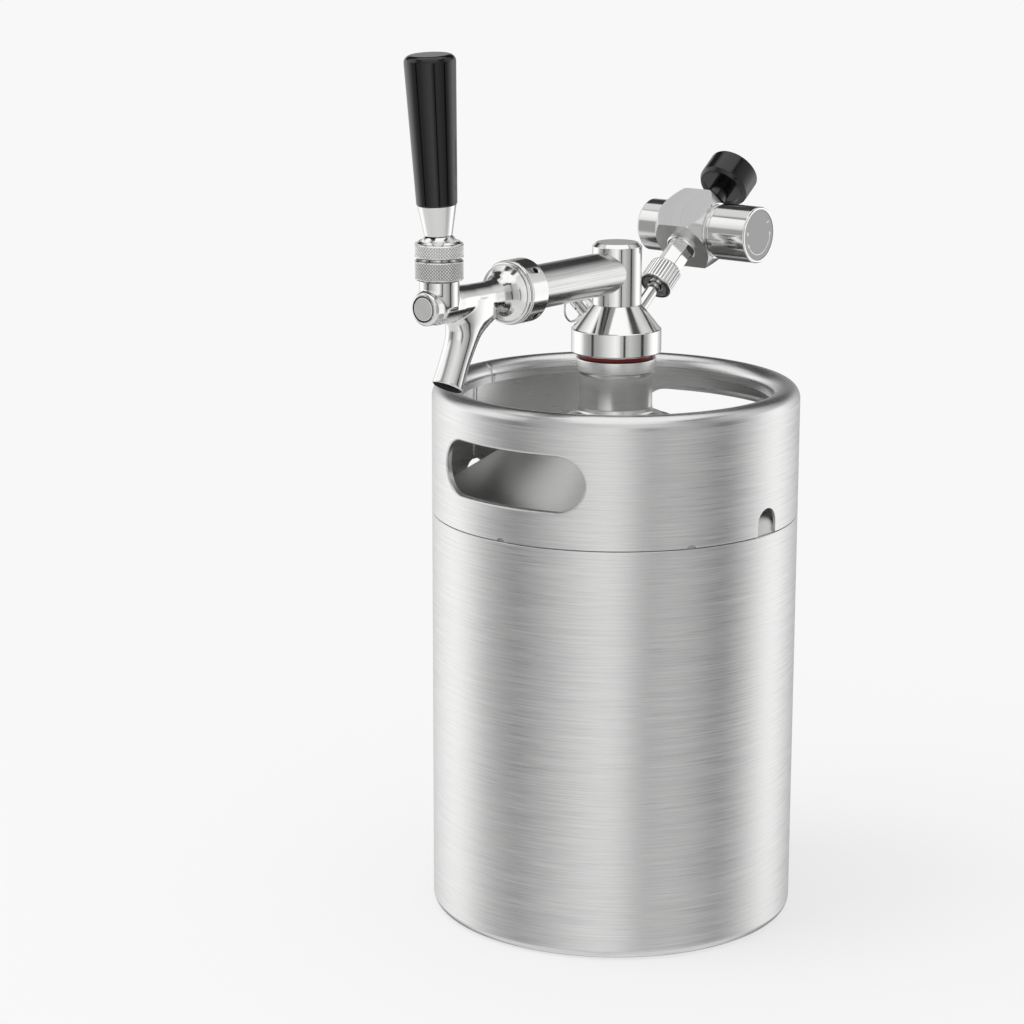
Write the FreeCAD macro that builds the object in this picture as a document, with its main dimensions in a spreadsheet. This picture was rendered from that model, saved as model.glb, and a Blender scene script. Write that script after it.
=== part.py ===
import FreeCAD, Part
import math
import os
import Sketcher

# A stainless mini keg with a screw-on dispensing head.
# +Z is up, the tap points to -Y, the pressure knob to +X, and the origin is the
# keg's axis on the plane that it stands on. All sizes are in millimetres.

Vector = FreeCAD.Vector
doc = FreeCAD.newDocument("MiniKegDispenser")

# Driving dimensions: each is one cell of the sheet, with its name as the alias
SIZES = [
    ("keg_radius", "85", "outer radius of the keg"),
    ("keg_wall", "1.2", "sheet of the body, dome and chime"),
    ("seam_height", "191", "joint between the body and the chime"),
    ("base_corner", "4", "outer corner radius of the base"),
    ("base_recess", "9", "height of the pressed-up floor"),
    ("base_ring_width", "11", "from the wall to the start of the pressed-up floor"),
    ("base_ramp", "14", "width of the ramp up to the floor"),
    ("base_fillet", "3", "bends of the pressed-up floor"),
    ("dome_edge_height", "197.5", "where the dome leaves the wall"),
    ("dome_top_height", "234", "flat of the dome round the neck"),
    ("dome_flat_radius", "27", "radius of that flat"),
    ("dome_edge_round", "8", "bend at the dome's edge"),
    ("dome_overlap", "8", "flange of the dome inside the body"),
    ("chime_rise", "59.6", "rolled rim above the seam"),
    ("rim_width", "12.4", "radial width of the rolled rim"),
    ("rim_drop", "9.1", "height of the rim's inner lip"),
    ("rim_round", "6.1", "radius of the roll"),
    ("slot_width", "79.5", "hand slot, end to end"),
    ("slot_height", "25.3", "hand slot, top to bottom"),
    ("slot_base", "207", "lower edge of the hand slot"),
    ("lip_depth", "3.5", "turned-in edge of the hand slot"),
    ("arch_width", "14", "drain arch in the chime"),
    ("arch_height", "12", "drain arch in the chime"),
    ("notch_radius", "2.5", "weld notch in the chime's lower edge"),
    ("notch_rise", "1.5", "height of the weld notch"),
    ("neck_radius", "16.9", "outer radius of the neck"),
    ("neck_bore", "14.3", "bore of the neck"),
    ("neck_below", "6", "neck below the dome's flat"),
    ("flange_radius", "23", "weld flange of the neck"),
    ("flange_height", "2.4", "weld flange of the neck"),
    ("neck_ring_radius", "18.5", "ring at the neck's mouth"),
    ("neck_ring_height", "6.8", "ring at the neck's mouth"),
    ("neck_top", "262.3", "mouth of the neck"),
    ("seal_radius", "17.35", "red seal"),
    ("seal_height", "2.3", "red seal"),
    ("thread_clearance", "0.3", "between the cap's spigot and the neck"),
    ("spigot_length", "15", "threaded spigot of the cap"),
    ("collar_radius", "20.75", "collar of the cap"),
    ("collar_height", "11.3", "collar of the cap"),
    ("cone_height", "11.1", "cone of the cap"),
    ("tower_radius", "11.4", "post on the cap"),
    ("tower_over", "13.5", "post above the arm's axis"),
    ("tower_chamfer", "1.6", "top edge of the post"),
    ("tube_bore", "2.5", "beer way in the dip tube and the arm"),
    ("dip_radius", "3.5", "outer radius of the dip tube"),
    ("dip_floor_gap", "4", "dip tube above the keg's floor"),
    ("foot_radius", "6", "guard on the dip tube's lower end"),
    ("foot_height", "10", "guard on the dip tube's lower end"),
    ("arm_rise", "14.9", "arm's axis above the cap's cone"),
    ("arm_radius", "9.8", "outer radius of the arm tube"),
    ("nut_face", "80.7", "front of the coupling nut from the keg's axis"),
    ("nut_radius", "14.2", "coupling nut"),
    ("nut_length", "13.2", "coupling nut"),
    ("nut_back", "3.2", "back wall of the coupling nut"),
    ("nut_chamfer", "1.8", "back edge of the coupling nut"),
    ("spanner_hole", "1.5", "radius of the nut's spanner holes"),
    ("washer_height", "1.2", "washer between the arm and the faucet"),
    ("bell_radius", "12.8", "flange of the faucet"),
    ("bell_front", "33", "front of the bell from the lever's axis"),
    ("bell_round", "7", "round of the bell"),
    ("tap_reach", "127", "lever's axis from the keg's axis"),
    ("barrel_radius", "7.8", "barrel of the faucet"),
    ("boss_length", "11.5", "barrel in front of the lever's axis"),
    ("boss_radius", "7.4", "front boss of the faucet"),
    ("end_cap_radius", "5.5", "plug in the front boss"),
    ("end_cap_depth", "4", "plug in the front boss"),
    ("chamber_radius", "6", "chamber behind the valve seat"),
    ("seat_place", "31", "valve seat from the lever's axis"),
    ("seat_length", "4", "valve seat"),
    ("seat_radius", "4.3", "hole of the valve seat"),
    ("guide_radius", "4.7", "bore that guides the valve shaft"),
    ("lever_neck_radius", "8.6", "neck under the knurled rings"),
    ("ring_base", "11.5", "lower knurled ring above the arm's axis"),
    ("ring_height", "8.5", "lower knurled ring"),
    ("ring_radius", "10.1", "both knurled rings"),
    ("ring_gap", "1", "between the knurled rings"),
    ("bonnet_height", "6.2", "knurled part of the bonnet"),
    ("neck_screw_radius", "7.6", "upper neck inside the rings"),
    ("neck_way_radius", "6", "way for the lever's tail in the neck"),
    ("pivot_height", "24.4", "lever's ball above the arm's axis"),
    ("ball_radius", "5", "lever's ball"),
    ("ball_clearance", "0.15", "round the lever's ball"),
    ("crown_radius", "8.3", "ball-shaped top of the bonnet"),
    ("crown_clearance", "0.3", "between the crown and the ferrule"),
    ("lever_slot_reach", "6.4", "front end of the slot in the bonnet"),
    ("stem_radius", "2.6", "lever between ball and handle"),
    ("tail_radius", "1.4", "lever below the ball"),
    ("tail_ball", "2.2", "end of the lever's tail"),
    ("handle_lean", "4", "degrees that the handle leans forward"),
    ("tail_lean", "10", "degrees that the tail points forward"),
    ("ferrule_base", "6", "lower radius of the ferrule"),
    ("ferrule_top_radius", "8.2", "upper radius of the ferrule"),
    ("ferrule_top", "18.2", "top of the ferrule above the ball"),
    ("grip_base_radius", "8.5", "lower radius of the grip"),
    ("grip_top_radius", "11.1", "upper radius of the grip"),
    ("grip_length", "66.5", "grip"),
    ("grip_round", "3", "upper edge of the grip"),
    ("shaft_radius", "2.2", "rod of the valve shaft"),
    ("head_radius", "4.6", "head of the valve shaft"),
    ("tail_way", "2.45", "hole for the tail in the shaft's head"),
    ("shaft_seal_height", "3", "rubber on the valve shaft"),
    ("spout_radius", "7.1", "spout at its mouth"),
    ("spout_waist", "6.7", "spout at its slimmest"),
    ("spout_bore", "5.2", "bore of the spout"),
    ("gas_elevation", "37", "slope of the gas line in degrees"),
    ("gas_root_y", "16.3", "gas line's foot on the cone"),
    ("gas_root_z", "281.1", "gas line's foot on the cone"),
    ("gas_stem_radius", "2.9", "gas stem"),
    ("gas_stem_depth", "5", "gas stem inside the cap"),
    ("gas_bore", "1.3", "gas way"),
    ("gas_nut_place", "16.8", "start of the gas nut along the line"),
    ("gas_nut_length", "12", "gas nut"),
    ("gas_nut_radius", "8", "gas nut"),
    ("gas_nut_mouth", "6", "open lower end of the gas nut"),
    ("gas_nut_web", "2", "inner wall of the gas nut"),
    ("gas_flange_radius", "5.4", "flange of the gas stem"),
    ("nipple_radius", "6.1", "threaded end of the nipple"),
    ("nipple_flats", "10.6", "hexagon of the nipple"),
    ("running_gap", "0.3", "between parts that turn on each other"),
    ("knurl_radius", "0.6", "grooves of the gas nut"),
    ("regulator_place", "56.5", "regulator's centre along the gas line"),
    ("block_length", "27", "regulator body along the knob's axis"),
    ("block_down", "12.5", "regulator body towards the keg"),
    ("block_up", "13.5", "regulator body towards the gauge"),
    ("block_half", "13.3", "regulator body across both axes"),
    ("block_turned", "18.6", "turned radius of the regulator body"),
    ("block_turned_end", "13", "turned radius at its ends"),
    ("block_middle", "7.5", "half length of the full turned radius"),
    ("port_radius", "7.4", "round collar at the gas inlet"),
    ("port_height", "1.6", "round collar at the gas inlet"),
    ("knob_boss_radius", "12.2", "ring behind the knob"),
    ("knob_boss_length", "2.6", "ring behind the knob"),
    ("knob_radius", "13.15", "pressure knob"),
    ("knob_length", "20.3", "pressure knob"),
    ("knob_rim", "1.3", "rim round the knob's plate"),
    ("plate_height", "0.6", "plate of the knob"),
    ("screw_radius", "4", "adjusting screw"),
    ("spring_chamber", "9.5", "chamber of the adjusting spring"),
    ("diaphragm_height", "1", "diaphragm"),
    ("spring_radius", "6", "coils of the adjusting spring"),
    ("spring_wire", "0.9", "wire radius of the adjusting spring"),
    ("socket_radius", "12.2", "cartridge socket"),
    ("socket_length", "12", "cartridge socket"),
    ("socket_chamfer", "1.6", "end of the cartridge socket"),
    ("cartridge_bore", "4.4", "thread of the cartridge socket"),
    ("undercut_length", "3.8", "thread undercut at the socket's floor"),
    ("cartridge_seal_height", "1.5", "seal at the socket's floor"),
    ("pin_radius", "1.1", "piercing pin"),
    ("pin_length", "3", "piercing pin"),
    ("gauge_place", "84.9", "back of the gauge along the gas line"),
    ("gauge_radius", "12.4", "gauge case"),
    ("gauge_depth", "12.5", "gauge case"),
    ("dial_depth", "5.5", "dial below the gauge's front"),
    ("gauge_wall", "1", "gauge case"),
    ("gauge_stem_radius", "5", "gauge stem"),
    ("dial_height", "0.8", "gauge dial"),
    ("lens_height", "1.2", "gauge lens"),
    ("needle_length", "8.2", "gauge needle"),
    ("needle_width", "1.1", "gauge needle"),
    ("relief_slope", "40", "elevation of the relief valve's axis in degrees"),
    ("relief_root_x", "15.9", "relief valve's foot on the cone"),
    ("relief_root_z", "281.7", "relief valve's foot on the cone"),
    ("relief_radius", "4.4", "relief valve body"),
    ("relief_length", "9.5", "relief valve body outside the cone"),
    ("relief_depth", "4", "relief valve body inside the cone"),
    ("relief_bore", "3", "chamber of the relief valve"),
    ("plunger_radius", "1.5", "plunger of the relief valve"),
    ("relief_spring_wire", "0.55", "wire radius of the relief spring"),
    ("plunger_reach", "4.2", "plunger outside its body"),
    ("ring_wire", "0.5", "wire radius of the pull ring"),
    ("pull_ring_radius", "6.6", "pull ring"),
]


class Size:
    """A length that knows its value and the sheet expression that gives it."""

    def __init__(self, value, text):
        self.value = value
        self.text = text

    def combine(self, other, sign, value):
        text = other.text if isinstance(other, Size) else repr(other)
        return Size(value, "(" + self.text + " " + sign + " " + text + ")")

    def __add__(self, other):
        return self.combine(other, "+", self.value + number(other))

    def __sub__(self, other):
        return self.combine(other, "-", self.value - number(other))

    def __mul__(self, other):
        return self.combine(other, "*", self.value * number(other))

    def __truediv__(self, other):
        return self.combine(other, "/", self.value / number(other))

    def __rsub__(self, other):
        return as_size(other) - self

    def __neg__(self):
        return Size(-self.value, "(0 - " + self.text + ")")


def number(length):
    return length.value if isinstance(length, Size) else float(length)


def as_size(length):
    return length if isinstance(length, Size) else Size(float(length), repr(float(length)))


sheet = doc.addObject("Spreadsheet::Sheet", "Sizes")
sizes = {}
for row, (alias, text, meaning) in enumerate(SIZES, start=1):
    sheet.set("A%d" % row, text)
    sheet.setAlias("A%d" % row, alias)
    sheet.set("B%d" % row, meaning)
doc.recompute()
for alias, text, meaning in SIZES:
    sizes[alias] = Size(float(sheet.get(alias)), "Sizes." + alias)


def s(alias):
    return sizes[alias]


def bind(thing, path, length):
    thing.setExpression(path, as_size(length).text)


def put(thing, x=0, y=0, z=0, axis=None, degrees=0):
    """Place a thing, with an optional turn about one axis through its origin."""
    turn = FreeCAD.Rotation(axis or Vector(1, 0, 0), number(degrees))
    thing.Placement = FreeCAD.Placement(Vector(number(x), number(y), number(z)), turn)
    for letter, length in (("x", x), ("y", y), ("z", z)):
        bind(thing, "Placement.Base." + letter, length)
    if axis:
        bind(thing, "Placement.Rotation.Angle", degrees)
    return thing


def outline(sketch, corners):
    """Draw a closed outline through corners (x, y) or (x, y, rounding radius)."""
    count = len(corners)
    points = [Vector(number(c[0]), number(c[1]), 0) for c in corners]
    starts, ends, centres = [], [], []
    for i, corner in enumerate(corners):
        here = points[i]
        if len(corner) == 2:
            starts.append(here)
            ends.append(here)
            centres.append(None)
            continue
        back = (points[i - 1] - here).normalize()
        ahead = (points[(i + 1) % count] - here).normalize()
        half = back.getAngle(ahead) / 2
        radius = number(corner[2])
        ends.append(here + back * (radius / math.tan(half)))
        starts.append(here + ahead * (radius / math.tan(half)))
        centres.append(here + (back + ahead).normalize() * (radius / math.sin(half)))
    lines = []
    for i in range(count):
        lines.append(sketch.addGeometry(Part.LineSegment(starts[i], ends[(i + 1) % count])))
    for i, corner in enumerate(corners):
        before, after = lines[i - 1], lines[i]
        if centres[i] is None:
            sketch.addConstraint(Sketcher.Constraint("Coincident", before, 2, after, 1))
            locate(sketch, after, 1, corner)
            continue
        reach_in = ends[i] - centres[i]
        reach_out = starts[i] - centres[i]
        first, last = math.atan2(reach_in.y, reach_in.x), math.atan2(reach_out.y, reach_out.x)
        near, far = 1, 2
        if reach_in.x * reach_out.y - reach_in.y * reach_out.x < 0:
            first, last, near, far = last, first, 2, 1
        if last < first:
            last += 2 * math.pi
        circle = Part.Circle(centres[i], Vector(0, 0, 1), number(corner[2]))
        arc = sketch.addGeometry(Part.ArcOfCircle(circle, first, last))
        sketch.addConstraint(Sketcher.Constraint("Tangent", before, 2, arc, near))
        sketch.addConstraint(Sketcher.Constraint("Tangent", arc, far, after, 1))
        mark = sketch.addGeometry(Part.Point(points[i]), True)
        sketch.addConstraint(Sketcher.Constraint("PointOnObject", mark, 1, before))
        sketch.addConstraint(Sketcher.Constraint("PointOnObject", mark, 1, after))
        locate(sketch, mark, 1, corner)
        measure(sketch, Sketcher.Constraint("Radius", arc, number(corner[2])), corner[2])


def measure(sketch, constraint, length):
    index = sketch.addConstraint(constraint)
    bind(sketch, "Constraints[%d]" % index, length)


def locate(sketch, geometry, end, corner):
    """Hold one point of a sketch at its distances from the origin."""
    x, y = corner[0], corner[1]
    if isinstance(x, Size) or x != 0:
        measure(sketch, Sketcher.Constraint("DistanceX", -1, 1, geometry, end, number(x)), x)
    else:
        sketch.addConstraint(Sketcher.Constraint("PointOnObject", geometry, end, -2))
    if isinstance(y, Size) or y != 0:
        measure(sketch, Sketcher.Constraint("DistanceY", -1, 1, geometry, end, number(y)), y)
    else:
        sketch.addConstraint(Sketcher.Constraint("PointOnObject", geometry, end, -1))


def new_body(name):
    body = doc.addObject("PartDesign::Body", name)
    body.Label = name
    return body


def new_sketch(body, name, role):
    sketch = body.newObject("Sketcher::SketchObject", name)
    plane = [f for f in body.Origin.OriginFeatures if f.Role == role][0]
    sketch.AttachmentSupport = [(plane, "")]
    sketch.MapMode = "FlatFace"
    return sketch


def turned(name, corners, **where):
    """A turned piece: a half section of (radius, height) corners, spun about its own Z."""
    body = new_body(name)
    sketch = new_sketch(body, name + "_section", "XZ_Plane")
    outline(sketch, corners)
    spin = body.newObject("PartDesign::Revolution", name + "_turn")
    spin.Profile = sketch
    spin.ReferenceAxis = (sketch, ["V_Axis"])
    spin.Angle = 360
    put(body, **where)
    return body


def circle_pocket(body, name, role, x, y, radius, both=True, length=None, reverse=False):
    """Cut a round hole from a sketch plane, through all or to a depth."""
    sketch = new_sketch(body, name + "_circle", role)
    ring = sketch.addGeometry(Part.Circle(Vector(number(x), number(y), 0), Vector(0, 0, 1), number(radius)))
    locate(sketch, ring, 3, (x, y))
    measure(sketch, Sketcher.Constraint("Radius", ring, number(radius)), radius)
    return pocket(body, name, sketch, both, length, reverse)


def pocket(body, name, sketch, both=True, length=None, reverse=False):
    cut = body.newObject("PartDesign::Pocket", name)
    cut.Profile = sketch
    cut.Reversed = reverse
    if length is None:
        cut.Type = 1
        cut.Midplane = both
    else:
        cut.Length = number(length)
        bind(cut, "Length", length)
    return cut


def slot_outline(sketch, width, height, centre_height):
    """A level slot with full-radius ends, centred on the sketch's upright axis."""
    half = number(width) / 2
    radius = number(height) / 2
    level = number(centre_height)
    left, right = radius - half, half - radius
    top = sketch.addGeometry(Part.LineSegment(Vector(left, level + radius, 0), Vector(right, level + radius, 0)))
    low = sketch.addGeometry(Part.LineSegment(Vector(right, level - radius, 0), Vector(left, level - radius, 0)))
    upright = math.pi / 2
    side = sketch.addGeometry(Part.ArcOfCircle(
        Part.Circle(Vector(right, level, 0), Vector(0, 0, 1), radius), -upright, upright))
    other = sketch.addGeometry(Part.ArcOfCircle(
        Part.Circle(Vector(left, level, 0), Vector(0, 0, 1), radius), upright, 3 * upright))
    for first, first_end, second, second_end in (
            (top, 2, side, 2), (side, 1, low, 1), (low, 2, other, 2), (other, 1, top, 1)):
        sketch.addConstraint(Sketcher.Constraint("Tangent", first, first_end, second, second_end))
    measure(sketch, Sketcher.Constraint("Radius", side, radius), height / 2)
    locate(sketch, side, 3, ((width - height) / 2, centre_height))
    locate(sketch, other, 3, (-((width - height) / 2), centre_height))


def primitive(kind, name, **lengths):
    """A Part primitive whose properties are bound to the sheet."""
    thing = doc.addObject("Part::" + kind, name)
    for path, length in lengths.items():
        setattr(thing, path, number(length))
        bind(thing, path, length)
    return thing


def fuse(name, pieces):
    whole = doc.addObject("Part::MultiFuse", name)
    whole.Shapes = pieces
    whole.Label = name
    return whole


def cut(name, base, tool):
    whole = doc.addObject("Part::Cut", name)
    whole.Base = base
    whole.Tool = tool
    whole.Label = name
    return whole


def common(name, first, second):
    whole = doc.addObject("Part::Common", name)
    whole.Base = first
    whole.Tool = second
    whole.Label = name
    return whole


made = []


def keep(piece):
    """Mark a finished sub-part: its label names its file."""
    made.append(piece)
    return piece


X_AXIS = Vector(1, 0, 0)
Y_AXIS = Vector(0, 1, 0)
Z_AXIS = Vector(0, 0, 1)

# Keg body: a deep-drawn cup that stands on a ring, with its floor pressed up inside
radius = s("keg_radius")
wall = s("keg_wall")
ring_inner = radius - s("base_ring_width")
ramp_inner = ring_inner - s("base_ramp")
keep(turned("keg_body", [
    (0, s("base_recess")),
    (ramp_inner, s("base_recess"), s("base_fillet")),
    (ring_inner, 0, s("base_fillet")),
    (radius, 0, s("base_corner")),
    (radius, s("seam_height")),
    (radius - wall, s("seam_height")),
    (radius - wall, wall, s("base_corner") - wall),
    (ring_inner + wall / 2, wall, s("base_fillet") - wall),
    (ramp_inner + wall / 2, s("base_recess") + wall, s("base_fillet")),
    (0, s("base_recess") + wall),
]))

# Top dome: its flange stands inside the body's edge and carries the chime
dome_slope_drop = wall * 1.18
keep(turned("top_dome", [
    (radius - wall, s("seam_height") - s("dome_overlap")),
    (radius - wall, s("dome_edge_height"), s("dome_edge_round")),
    (s("dome_flat_radius"), s("dome_top_height"), s("dome_edge_round")),
    (s("neck_radius"), s("dome_top_height")),
    (s("neck_radius"), s("dome_top_height") - wall),
    (s("dome_flat_radius") - wall / 3, s("dome_top_height") - wall, s("dome_edge_round") - wall),
    (radius - wall * 2, s("dome_edge_height") - wall / 2, s("dome_edge_round") - wall),
    (radius - wall * 2, s("seam_height") - s("dome_overlap")),
]))

# Top chime: skirt with a rolled rim; hand slots front and back have turned-in lips
chime_top = s("seam_height") + s("chime_rise")
chime = turned("top_chime", [
    (radius, s("seam_height")),
    (radius, chime_top, s("rim_round")),
    (radius - s("rim_width"), chime_top, s("rim_round")),
    (radius - s("rim_width"), chime_top - s("rim_drop")),
    (radius - s("rim_width") + wall, chime_top - s("rim_drop")),
    (radius - s("rim_width") + wall, chime_top - wall, s("rim_round") - wall),
    (radius - wall, chime_top - wall, s("rim_round") - wall),
    (radius - wall, s("seam_height")),
])
slot_middle = s("slot_base") + s("slot_height") / 2
lip_sketch = new_sketch(chime, "lip_outline", "XZ_Plane")
slot_outline(lip_sketch, s("slot_width") + wall * 2, s("slot_height") + wall * 2, slot_middle)
lip_bar = chime.newObject("PartDesign::Pad", "lip_bar")
lip_bar.Profile = lip_sketch
lip_bar.Midplane = True
lip_bar.Length = number(radius * 2)
bind(lip_bar, "Length", radius * 2)


def clear_band(name, inner, outer):
    """Turn away the bar between two radii, over the height of the hand slots."""
    sketch = new_sketch(chime, name + "_section", "XZ_Plane")
    low = s("slot_base") - wall * 3
    high = s("slot_base") + s("slot_height") + wall * 3
    outline(sketch, [(inner, low), (outer, low), (outer, high), (inner, high)])
    groove = chime.newObject("PartDesign::Groove", name)
    groove.Profile = sketch
    groove.ReferenceAxis = (sketch, ["V_Axis"])
    groove.Angle = 360


clear_band("lip_inside", 0, radius - wall - s("lip_depth"))
clear_band("lip_outside", radius, radius * 1.5)
slot_sketch = new_sketch(chime, "slot_outline", "XZ_Plane")
slot_outline(slot_sketch, s("slot_width"), s("slot_height"), slot_middle)
pocket(chime, "hand_slots", slot_sketch)
arch_sketch = new_sketch(chime, "arch_outline", "YZ_Plane")
slot_outline(arch_sketch, s("arch_width") + 0.001, s("arch_width"),
             s("seam_height") + s("arch_height") - s("arch_width") / 2)
pocket(chime, "drain_arches", arch_sketch)
foot_sketch = new_sketch(chime, "arch_foot", "YZ_Plane")
arch_half = s("arch_width") / 2
outline(foot_sketch, [
    (-arch_half, s("seam_height") - wall),
    (arch_half, s("seam_height") - wall),
    (arch_half, s("seam_height") + s("arch_height") - arch_half),
    (-arch_half, s("seam_height") + s("arch_height") - arch_half),
])
pocket(chime, "drain_arch_feet", foot_sketch)
notch = circle_pocket(chime, "weld_notch", "XZ_Plane", 0,
                      s("seam_height") + s("notch_rise") - s("notch_radius"), s("notch_radius"))
notches = chime.newObject("PartDesign::PolarPattern", "weld_notches")
notches.Originals = [notch]
notches.Axis = ([f for f in chime.Origin.OriginFeatures if f.Role == "Z_Axis"][0], [""])
notches.Angle = 180
notches.Occurrences = 4
chime.Tip = notches
keep(chime)

# Neck: machined tube welded in the dome, with a weld flange and a ring at its mouth
neck_foot = s("dome_top_height") + s("flange_height")
ring_low = s("neck_top") - s("neck_ring_height")
keep(turned("neck", [
    (s("neck_bore"), s("dome_top_height") - s("neck_below")),
    (s("neck_radius"), s("dome_top_height") - s("neck_below")),
    (s("neck_radius"), s("dome_top_height")),
    (s("flange_radius"), s("dome_top_height")),
    (s("flange_radius") - 1, neck_foot - 0.8, as_size(0.9)),
    (s("neck_radius") + 0.6, neck_foot + 0.6, as_size(2.2)),
    (s("neck_radius"), neck_foot + 3.5, as_size(3)),
    (s("neck_radius"), ring_low - 0.6),
    (s("neck_ring_radius"), ring_low + 1, as_size(1)),
    (s("neck_ring_radius"), s("neck_top") - 0.4),
    (s("neck_ring_radius") - 0.4, s("neck_top")),
    (s("neck_bore"), s("neck_top")),
]))

# Head cap: collar and cone over a spigot that screws into the neck
cap_base = s("neck_top") + s("seal_height")
cone_base = cap_base + s("collar_height")
cone_top = cone_base + s("cone_height")
arm_height = cone_top + s("arm_rise")
spigot = s("neck_bore") - s("thread_clearance")
cap = turned("head_cap", [
    (s("dip_radius"), s("neck_top") - s("spigot_length")),
    (spigot - 1, s("neck_top") - s("spigot_length")),
    (spigot, s("neck_top") - s("spigot_length") + 1),
    (spigot, cap_base),
    (s("collar_radius") - 1, cap_base),
    (s("collar_radius"), cap_base + 1),
    (s("collar_radius"), cone_base - 0.4),
    (s("collar_radius") - 0.5, cone_base),
    (s("tower_radius"), cone_top),
    (s("dip_radius"), cone_top),
])


def slanted_hole(name, base, tool_radius, depth, reach, y, z, axis, degrees, x=0):
    """A round cutter that starts below a slanted axis's foot and runs out past it."""
    tool = primitive("Cylinder", name, Radius=tool_radius, Height=depth + reach)
    turn = FreeCAD.Rotation(axis, number(degrees))
    foot = Vector(number(x), number(y), number(z)) - turn.multVec(Vector(0, 0, number(depth)))
    tool.Placement = FreeCAD.Placement(foot, turn)
    return tool


gas_turn = s("gas_elevation") - 90
relief_turn = s("relief_slope") - 90
gas_seat = slanted_hole("gas_seat", cap, s("gas_stem_radius"), s("gas_stem_depth"), 12,
                        s("gas_root_y"), s("gas_root_z"), X_AXIS, gas_turn)
relief_seat = slanted_hole("relief_seat", cap, s("relief_radius"), s("relief_depth"), 12,
                           0, s("relief_root_z"), Y_AXIS, relief_turn, -s("relief_root_x"))
gas_way_height = s("gas_root_z") - s("gas_stem_depth") - (s("neck_top") - s("spigot_length"))
gas_way = put(primitive("Cylinder", "gas_way", Radius=s("gas_bore"), Height=gas_way_height + 3),
              0, s("gas_root_y") - s("gas_stem_depth") - 1, s("neck_top") - s("spigot_length") - 1)
relief_way = put(primitive("Cylinder", "relief_way", Radius=s("gas_bore"), Height=gas_way_height + 3),
                 s("gas_stem_depth") - s("relief_root_x") + 1, 0,
                 s("neck_top") - s("spigot_length") - 1)
cap.Label = "head_cap_turned"
keep(cut("head_cap", cap, fuse("cap_holes", [gas_seat, relief_seat, gas_way, relief_way])))

# Cap seal: the red ring that shows between the neck and the collar
keep(turned("cap_seal", [
    (spigot + 0.1, s("neck_top")),
    (s("seal_radius"), s("neck_top")),
    (s("seal_radius"), cap_base),
    (spigot + 0.1, cap_base),
]))

# Tower: upright post; the beer way turns from the dip tube into the arm
tower_top = arm_height + s("tower_over")
tower = turned("tower_turned", [
    (s("dip_radius"), cone_top),
    (s("tower_radius"), cone_top),
    (s("tower_radius"), tower_top - s("tower_chamfer")),
    (s("tower_radius") - s("tower_chamfer"), tower_top),
    (0, tower_top),
    (0, arm_height + s("dip_radius")),
    (s("dip_radius"), arm_height + s("dip_radius")),
])
tower_way = put(primitive("Cylinder", "tower_way", Radius=s("tube_bore"), Height=s("tower_radius") * 2),
                0, 0, arm_height, X_AXIS, as_size(90))
keep(cut("tower", tower, tower_way))

# Dip tube: carries the beer from just above the floor up through the cap
keep(turned("dip_tube", [
    (s("tube_bore"), s("base_recess") + wall + s("dip_floor_gap")),
    (s("dip_radius"), s("base_recess") + wall + s("dip_floor_gap")),
    (s("dip_radius"), arm_height - s("dip_radius")),
    (s("tube_bore"), arm_height - s("dip_radius")),
]))
foot_low = s("base_recess") + wall + s("dip_floor_gap") - 1.5
keep(turned("dip_tube_foot", [
    (s("dip_radius"), foot_low),
    (s("foot_radius"), foot_low),
    (s("foot_radius"), foot_low + s("foot_height") - 2),
    (s("foot_radius") - 1.5, foot_low + s("foot_height")),
    (s("dip_radius"), foot_low + s("foot_height")),
]))

# Arm tube: the shank from the tower to the coupling nut, saddle-cut to the tower
nut_start = s("nut_face") - s("nut_length")
arm_end = nut_start + s("nut_back")
arm = turned("arm_turned", [
    (s("tube_bore"), 0),
    (s("arm_radius"), 0),
    (s("arm_radius"), arm_end),
    (s("tube_bore"), arm_end),
], z=arm_height, axis=X_AXIS, degrees=as_size(90))
saddle = put(primitive("Cylinder", "arm_saddle", Radius=s("tower_radius"), Height=(tower_top - cone_top) * 2),
             0, 0, cone_top - (tower_top - cone_top) / 2)
keep(cut("arm_tube", arm, saddle))

# Coupling nut: holds the faucet's flange to the arm; four spanner holes
coupling = turned("coupling_nut", [
    (s("arm_radius"), nut_start),
    (s("nut_radius") - s("nut_chamfer"), nut_start),
    (s("nut_radius"), nut_start + s("nut_chamfer")),
    (s("nut_radius"), s("nut_face") - 0.5),
    (s("nut_radius") - 0.5, s("nut_face")),
    (s("bell_radius") + 0.1, s("nut_face")),
    (s("bell_radius") + 0.1, arm_end),
    (s("arm_radius"), arm_end),
], z=arm_height, axis=X_AXIS, degrees=as_size(90))
hole_place = nut_start + s("nut_length") * 0.45
hole_sketch = new_sketch(coupling, "spanner_hole_circle", "XZ_Plane")
circle = hole_sketch.addGeometry(
    Part.Circle(Vector(0, number(hole_place), 0), Vector(0, 0, 1), number(s("spanner_hole"))))
locate(hole_sketch, circle, 3, (0, hole_place))
measure(hole_sketch, Sketcher.Constraint("Radius", circle, number(s("spanner_hole"))), s("spanner_hole"))
hole = pocket(coupling, "spanner_hole_pair", hole_sketch)
holes = coupling.newObject("PartDesign::PolarPattern", "spanner_holes")
holes.Originals = [hole]
holes.Axis = ([f for f in coupling.Origin.OriginFeatures if f.Role == "Z_Axis"][0], [""])
holes.Angle = 180
holes.Occurrences = 3
coupling.Tip = holes
keep(coupling)

# Faucet washer: between the arm's end and the faucet's flange
keep(turned("faucet_washer", [
    (s("tube_bore") + 1, arm_end),
    (s("arm_radius"), arm_end),
    (s("arm_radius"), arm_end + s("washer_height")),
    (s("tube_bore") + 1, arm_end + s("washer_height")),
], z=arm_height, axis=X_AXIS, degrees=as_size(90)))

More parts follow.
